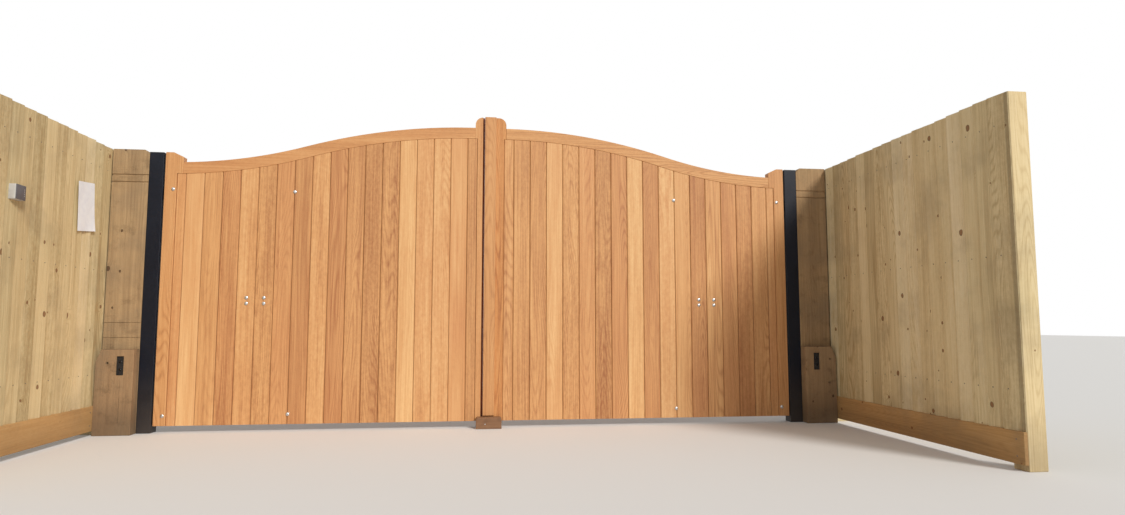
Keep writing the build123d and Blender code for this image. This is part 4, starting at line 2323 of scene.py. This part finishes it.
@dataclass
class Notice:
    """Blank sheet of paper that hangs askew on the left fence, lifted at its near edge.

    Attributes:
        shop: Workshop.
        cells: Cells of its mesh across and up.
        bend_radius: Radius of the bend in the far bottom corner.
        bend_start: Distance from that corner, on the diagonal, where the bend starts.
        askew: Angle by which the sheet is turned in the fence's plane, in radians.
        lift: How far the near edge stands off the fence, at its bottom and top.
        lift_curve: Power with which that lift fades towards the far edge.
        ripple: Height of the sheet's faint waves.
        thick: Thickness that the paper is drawn with.
    """

    shop: Workshop
    cells: tuple[int, int] = (30, 40)
    bend_radius: float = 0.6
    bend_start: float = 0.08
    askew: float = math.radians(6)
    lift: Pair = (5.5 * MM, 13 * MM)
    lift_curve: float = 1.6
    ripple: float = 0.7 * MM
    thick: float = 0.4 * MM

    def build(self) -> None:
        """Make the sheet."""
        columns, rows = self.cells
        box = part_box("notice_sheet")
        points = [
            self.point(box, column / columns, row / rows)
            for row in range(rows + 1)
            for column in range(columns + 1)
        ]
        wide = columns + 1
        faces = [
            (r * wide + c, r * wide + c + 1, (r + 1) * wide + c + 1, (r + 1) * wide + c)
            for r in range(rows)
            for c in range(columns)
        ]
        mesh = bpy.data.meshes.new("notice")
        mesh.from_pydata(points, [], faces)
        holder = link(bpy.data.objects.new("notice", mesh))
        sheet = holder.modifiers.new("thickness", "SOLIDIFY")
        sheet.thickness = self.thick
        sheet.offset = 0
        piece = smooth(settle(holder), 50)
        paint(piece, self.shop.finishes.paper)
        self.shop.seat(piece, FIXED_BODY, "white_paper", "notice_sheet")

    def point(self, box: Corners, along: float, up: float) -> Point:
        """Point of the sheet.

        Args:
            box: Corners of the node.
            along: Share of the way from the near edge to the far one.
            up: Share of the way from the bottom to the top.

        Returns:
            Its place.
        """
        low, high = box
        width, height = high.y - low.y, high.z - low.z
        centre = (low + high) / 2
        aside, above = width * (along - 0.5), height * (up - 0.5)
        from_corner = width * (1 - along) + height * up
        bend = max(self.bend_start - from_corner / math.sqrt(2), 0) / self.bend_radius
        off = self.bend_radius * (1 - math.cos(bend))
        lift = self.lift[0] + (self.lift[1] - self.lift[0]) * up
        off += lift * (1 - along) ** self.lift_curve
        off += self.ripple * (1 + math.sin(along * 9) * math.sin(up * 7 + 1))
        cosine, sine = math.cos(self.askew), math.sin(self.askew)
        y = centre.y + aside * cosine - above * sine
        z = centre.z + above * cosine + aside * sine
        return (low.x + self.thick + off, y, z)


# Studio


@dataclass
class Studio:
    """Plain pale floor, soft light and the camera.

    Attributes:
        eye: Place of the camera.
        tilt: How far it looks up, in degrees.
        swing: How far it looks to the right, in degrees.
        focal_pixels: Focal length in pixels of the photograph.
        floor_reach: Distance from the origin to the floor's edges.
        floor_colour: Colour of the floor.
        sun_way: Direction from the object to the sun.
        sun_strength: Strength of the sun.
        sun_colour: Colour of the sun.
        sun_spread: Angle over which the sun is spread, in radians, which softens its shadows.
        sky_strength: Strength of the sky.
    """

    eye: Point = (2.041, -5.063, 0.690)
    tilt: float = 5.256
    swing: float = 7.346
    focal_pixels: float = 729.6
    floor_reach: float = 40.0
    floor_colour: Colour = (0.78, 0.77, 0.75)
    sun_way: Point = (0.42, -0.74, 0.52)
    sun_strength: float = 2.55
    sun_colour: Colour = (1.0, 0.98, 0.95)
    sun_spread: float = math.radians(16)
    sky_strength: float = 0.42

    def build(self) -> None:
        """Set everything up."""
        bpy.context.scene.view_settings.view_transform = "Standard"
        self.lay_floor()
        self.light()
        self.place_camera()

    def lay_floor(self) -> None:
        """Large pale floor at the ground."""
        reach = self.floor_reach
        points = [(-reach, -reach, 0), (reach, -reach, 0), (reach, reach, 0), (-reach, reach, 0)]
        mesh = bpy.data.meshes.new("floor")
        mesh.from_pydata(points, [], [(0, 1, 2, 3)])
        floor = link(bpy.data.objects.new("floor", mesh))
        paint(floor, Surface("pale_floor").coat(Base_Color=self.floor_colour, Roughness=0.9))

    def light(self) -> None:
        """White backdrop, soft sky and a soft sun."""
        world = bpy.data.worlds.new("sky")
        world.use_nodes = True
        bpy.context.scene.world = world
        bench = Bench(world.node_tree)
        rays = bench.node("ShaderNodeLightPath")
        seen = rays["Is Camera Ray"].most(rays["Is Glossy Ray"]).most(rays["Is Transmission Ray"])
        background = world.node_tree.nodes["Background"]
        bench.feed(background.inputs["Color"], (1, 1, 1))
        strength = self.sky_strength + seen * (1 - self.sky_strength)
        bench.feed(background.inputs["Strength"], strength)
        lamp = bpy.data.lights.new("sun", "SUN")
        lamp.energy = self.sun_strength
        lamp.angle = self.sun_spread
        lamp.color = self.sun_colour
        sun = link(bpy.data.objects.new("sun", lamp))
        sun.rotation_euler = Vector(self.sun_way).to_track_quat("Z", "Y").to_euler()

    def place_camera(self) -> None:
        """Camera at the photograph's viewpoint."""
        camera = bpy.data.cameras.new("camera")
        camera.sensor_fit = "HORIZONTAL"
        camera.lens = self.focal_pixels / PHOTO_WIDTH * camera.sensor_width
        holder = link(bpy.data.objects.new("camera", camera))
        holder.location = self.eye
        holder.rotation_euler = (math.radians(90 + self.tilt), 0, -math.radians(self.swing))
        bpy.context.scene.camera = holder


def main() -> None:
    """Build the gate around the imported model."""
    logging.basicConfig(level=logging.INFO, format="%(message)s")
    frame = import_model()
    shop = Workshop(frame)
    for side in Side:
        Leaf(shop, side).build()
        WingFence(shop, side).build()
    MeetingEdge(shop).build()
    GatePost(
        shop,
        Side.LEFT,
        holes=[(2.386, 0.450)],
        low_cuts=[0.607, 0.703],
        splits=[(2.309, 0.493, 0.536), (2.306, 0.060, 0.371)],
    ).build()
    GatePost(shop, Side.RIGHT, holes=[(2.410, 0.447), (2.401, 0.282)], low_cuts=[]).build()
    GroundStop(shop).build()
    CallBox(shop).build()
    Notice(shop).build()
    shop.parts.clear()
    Studio().build()


if __name__ == "__main__":
    main()
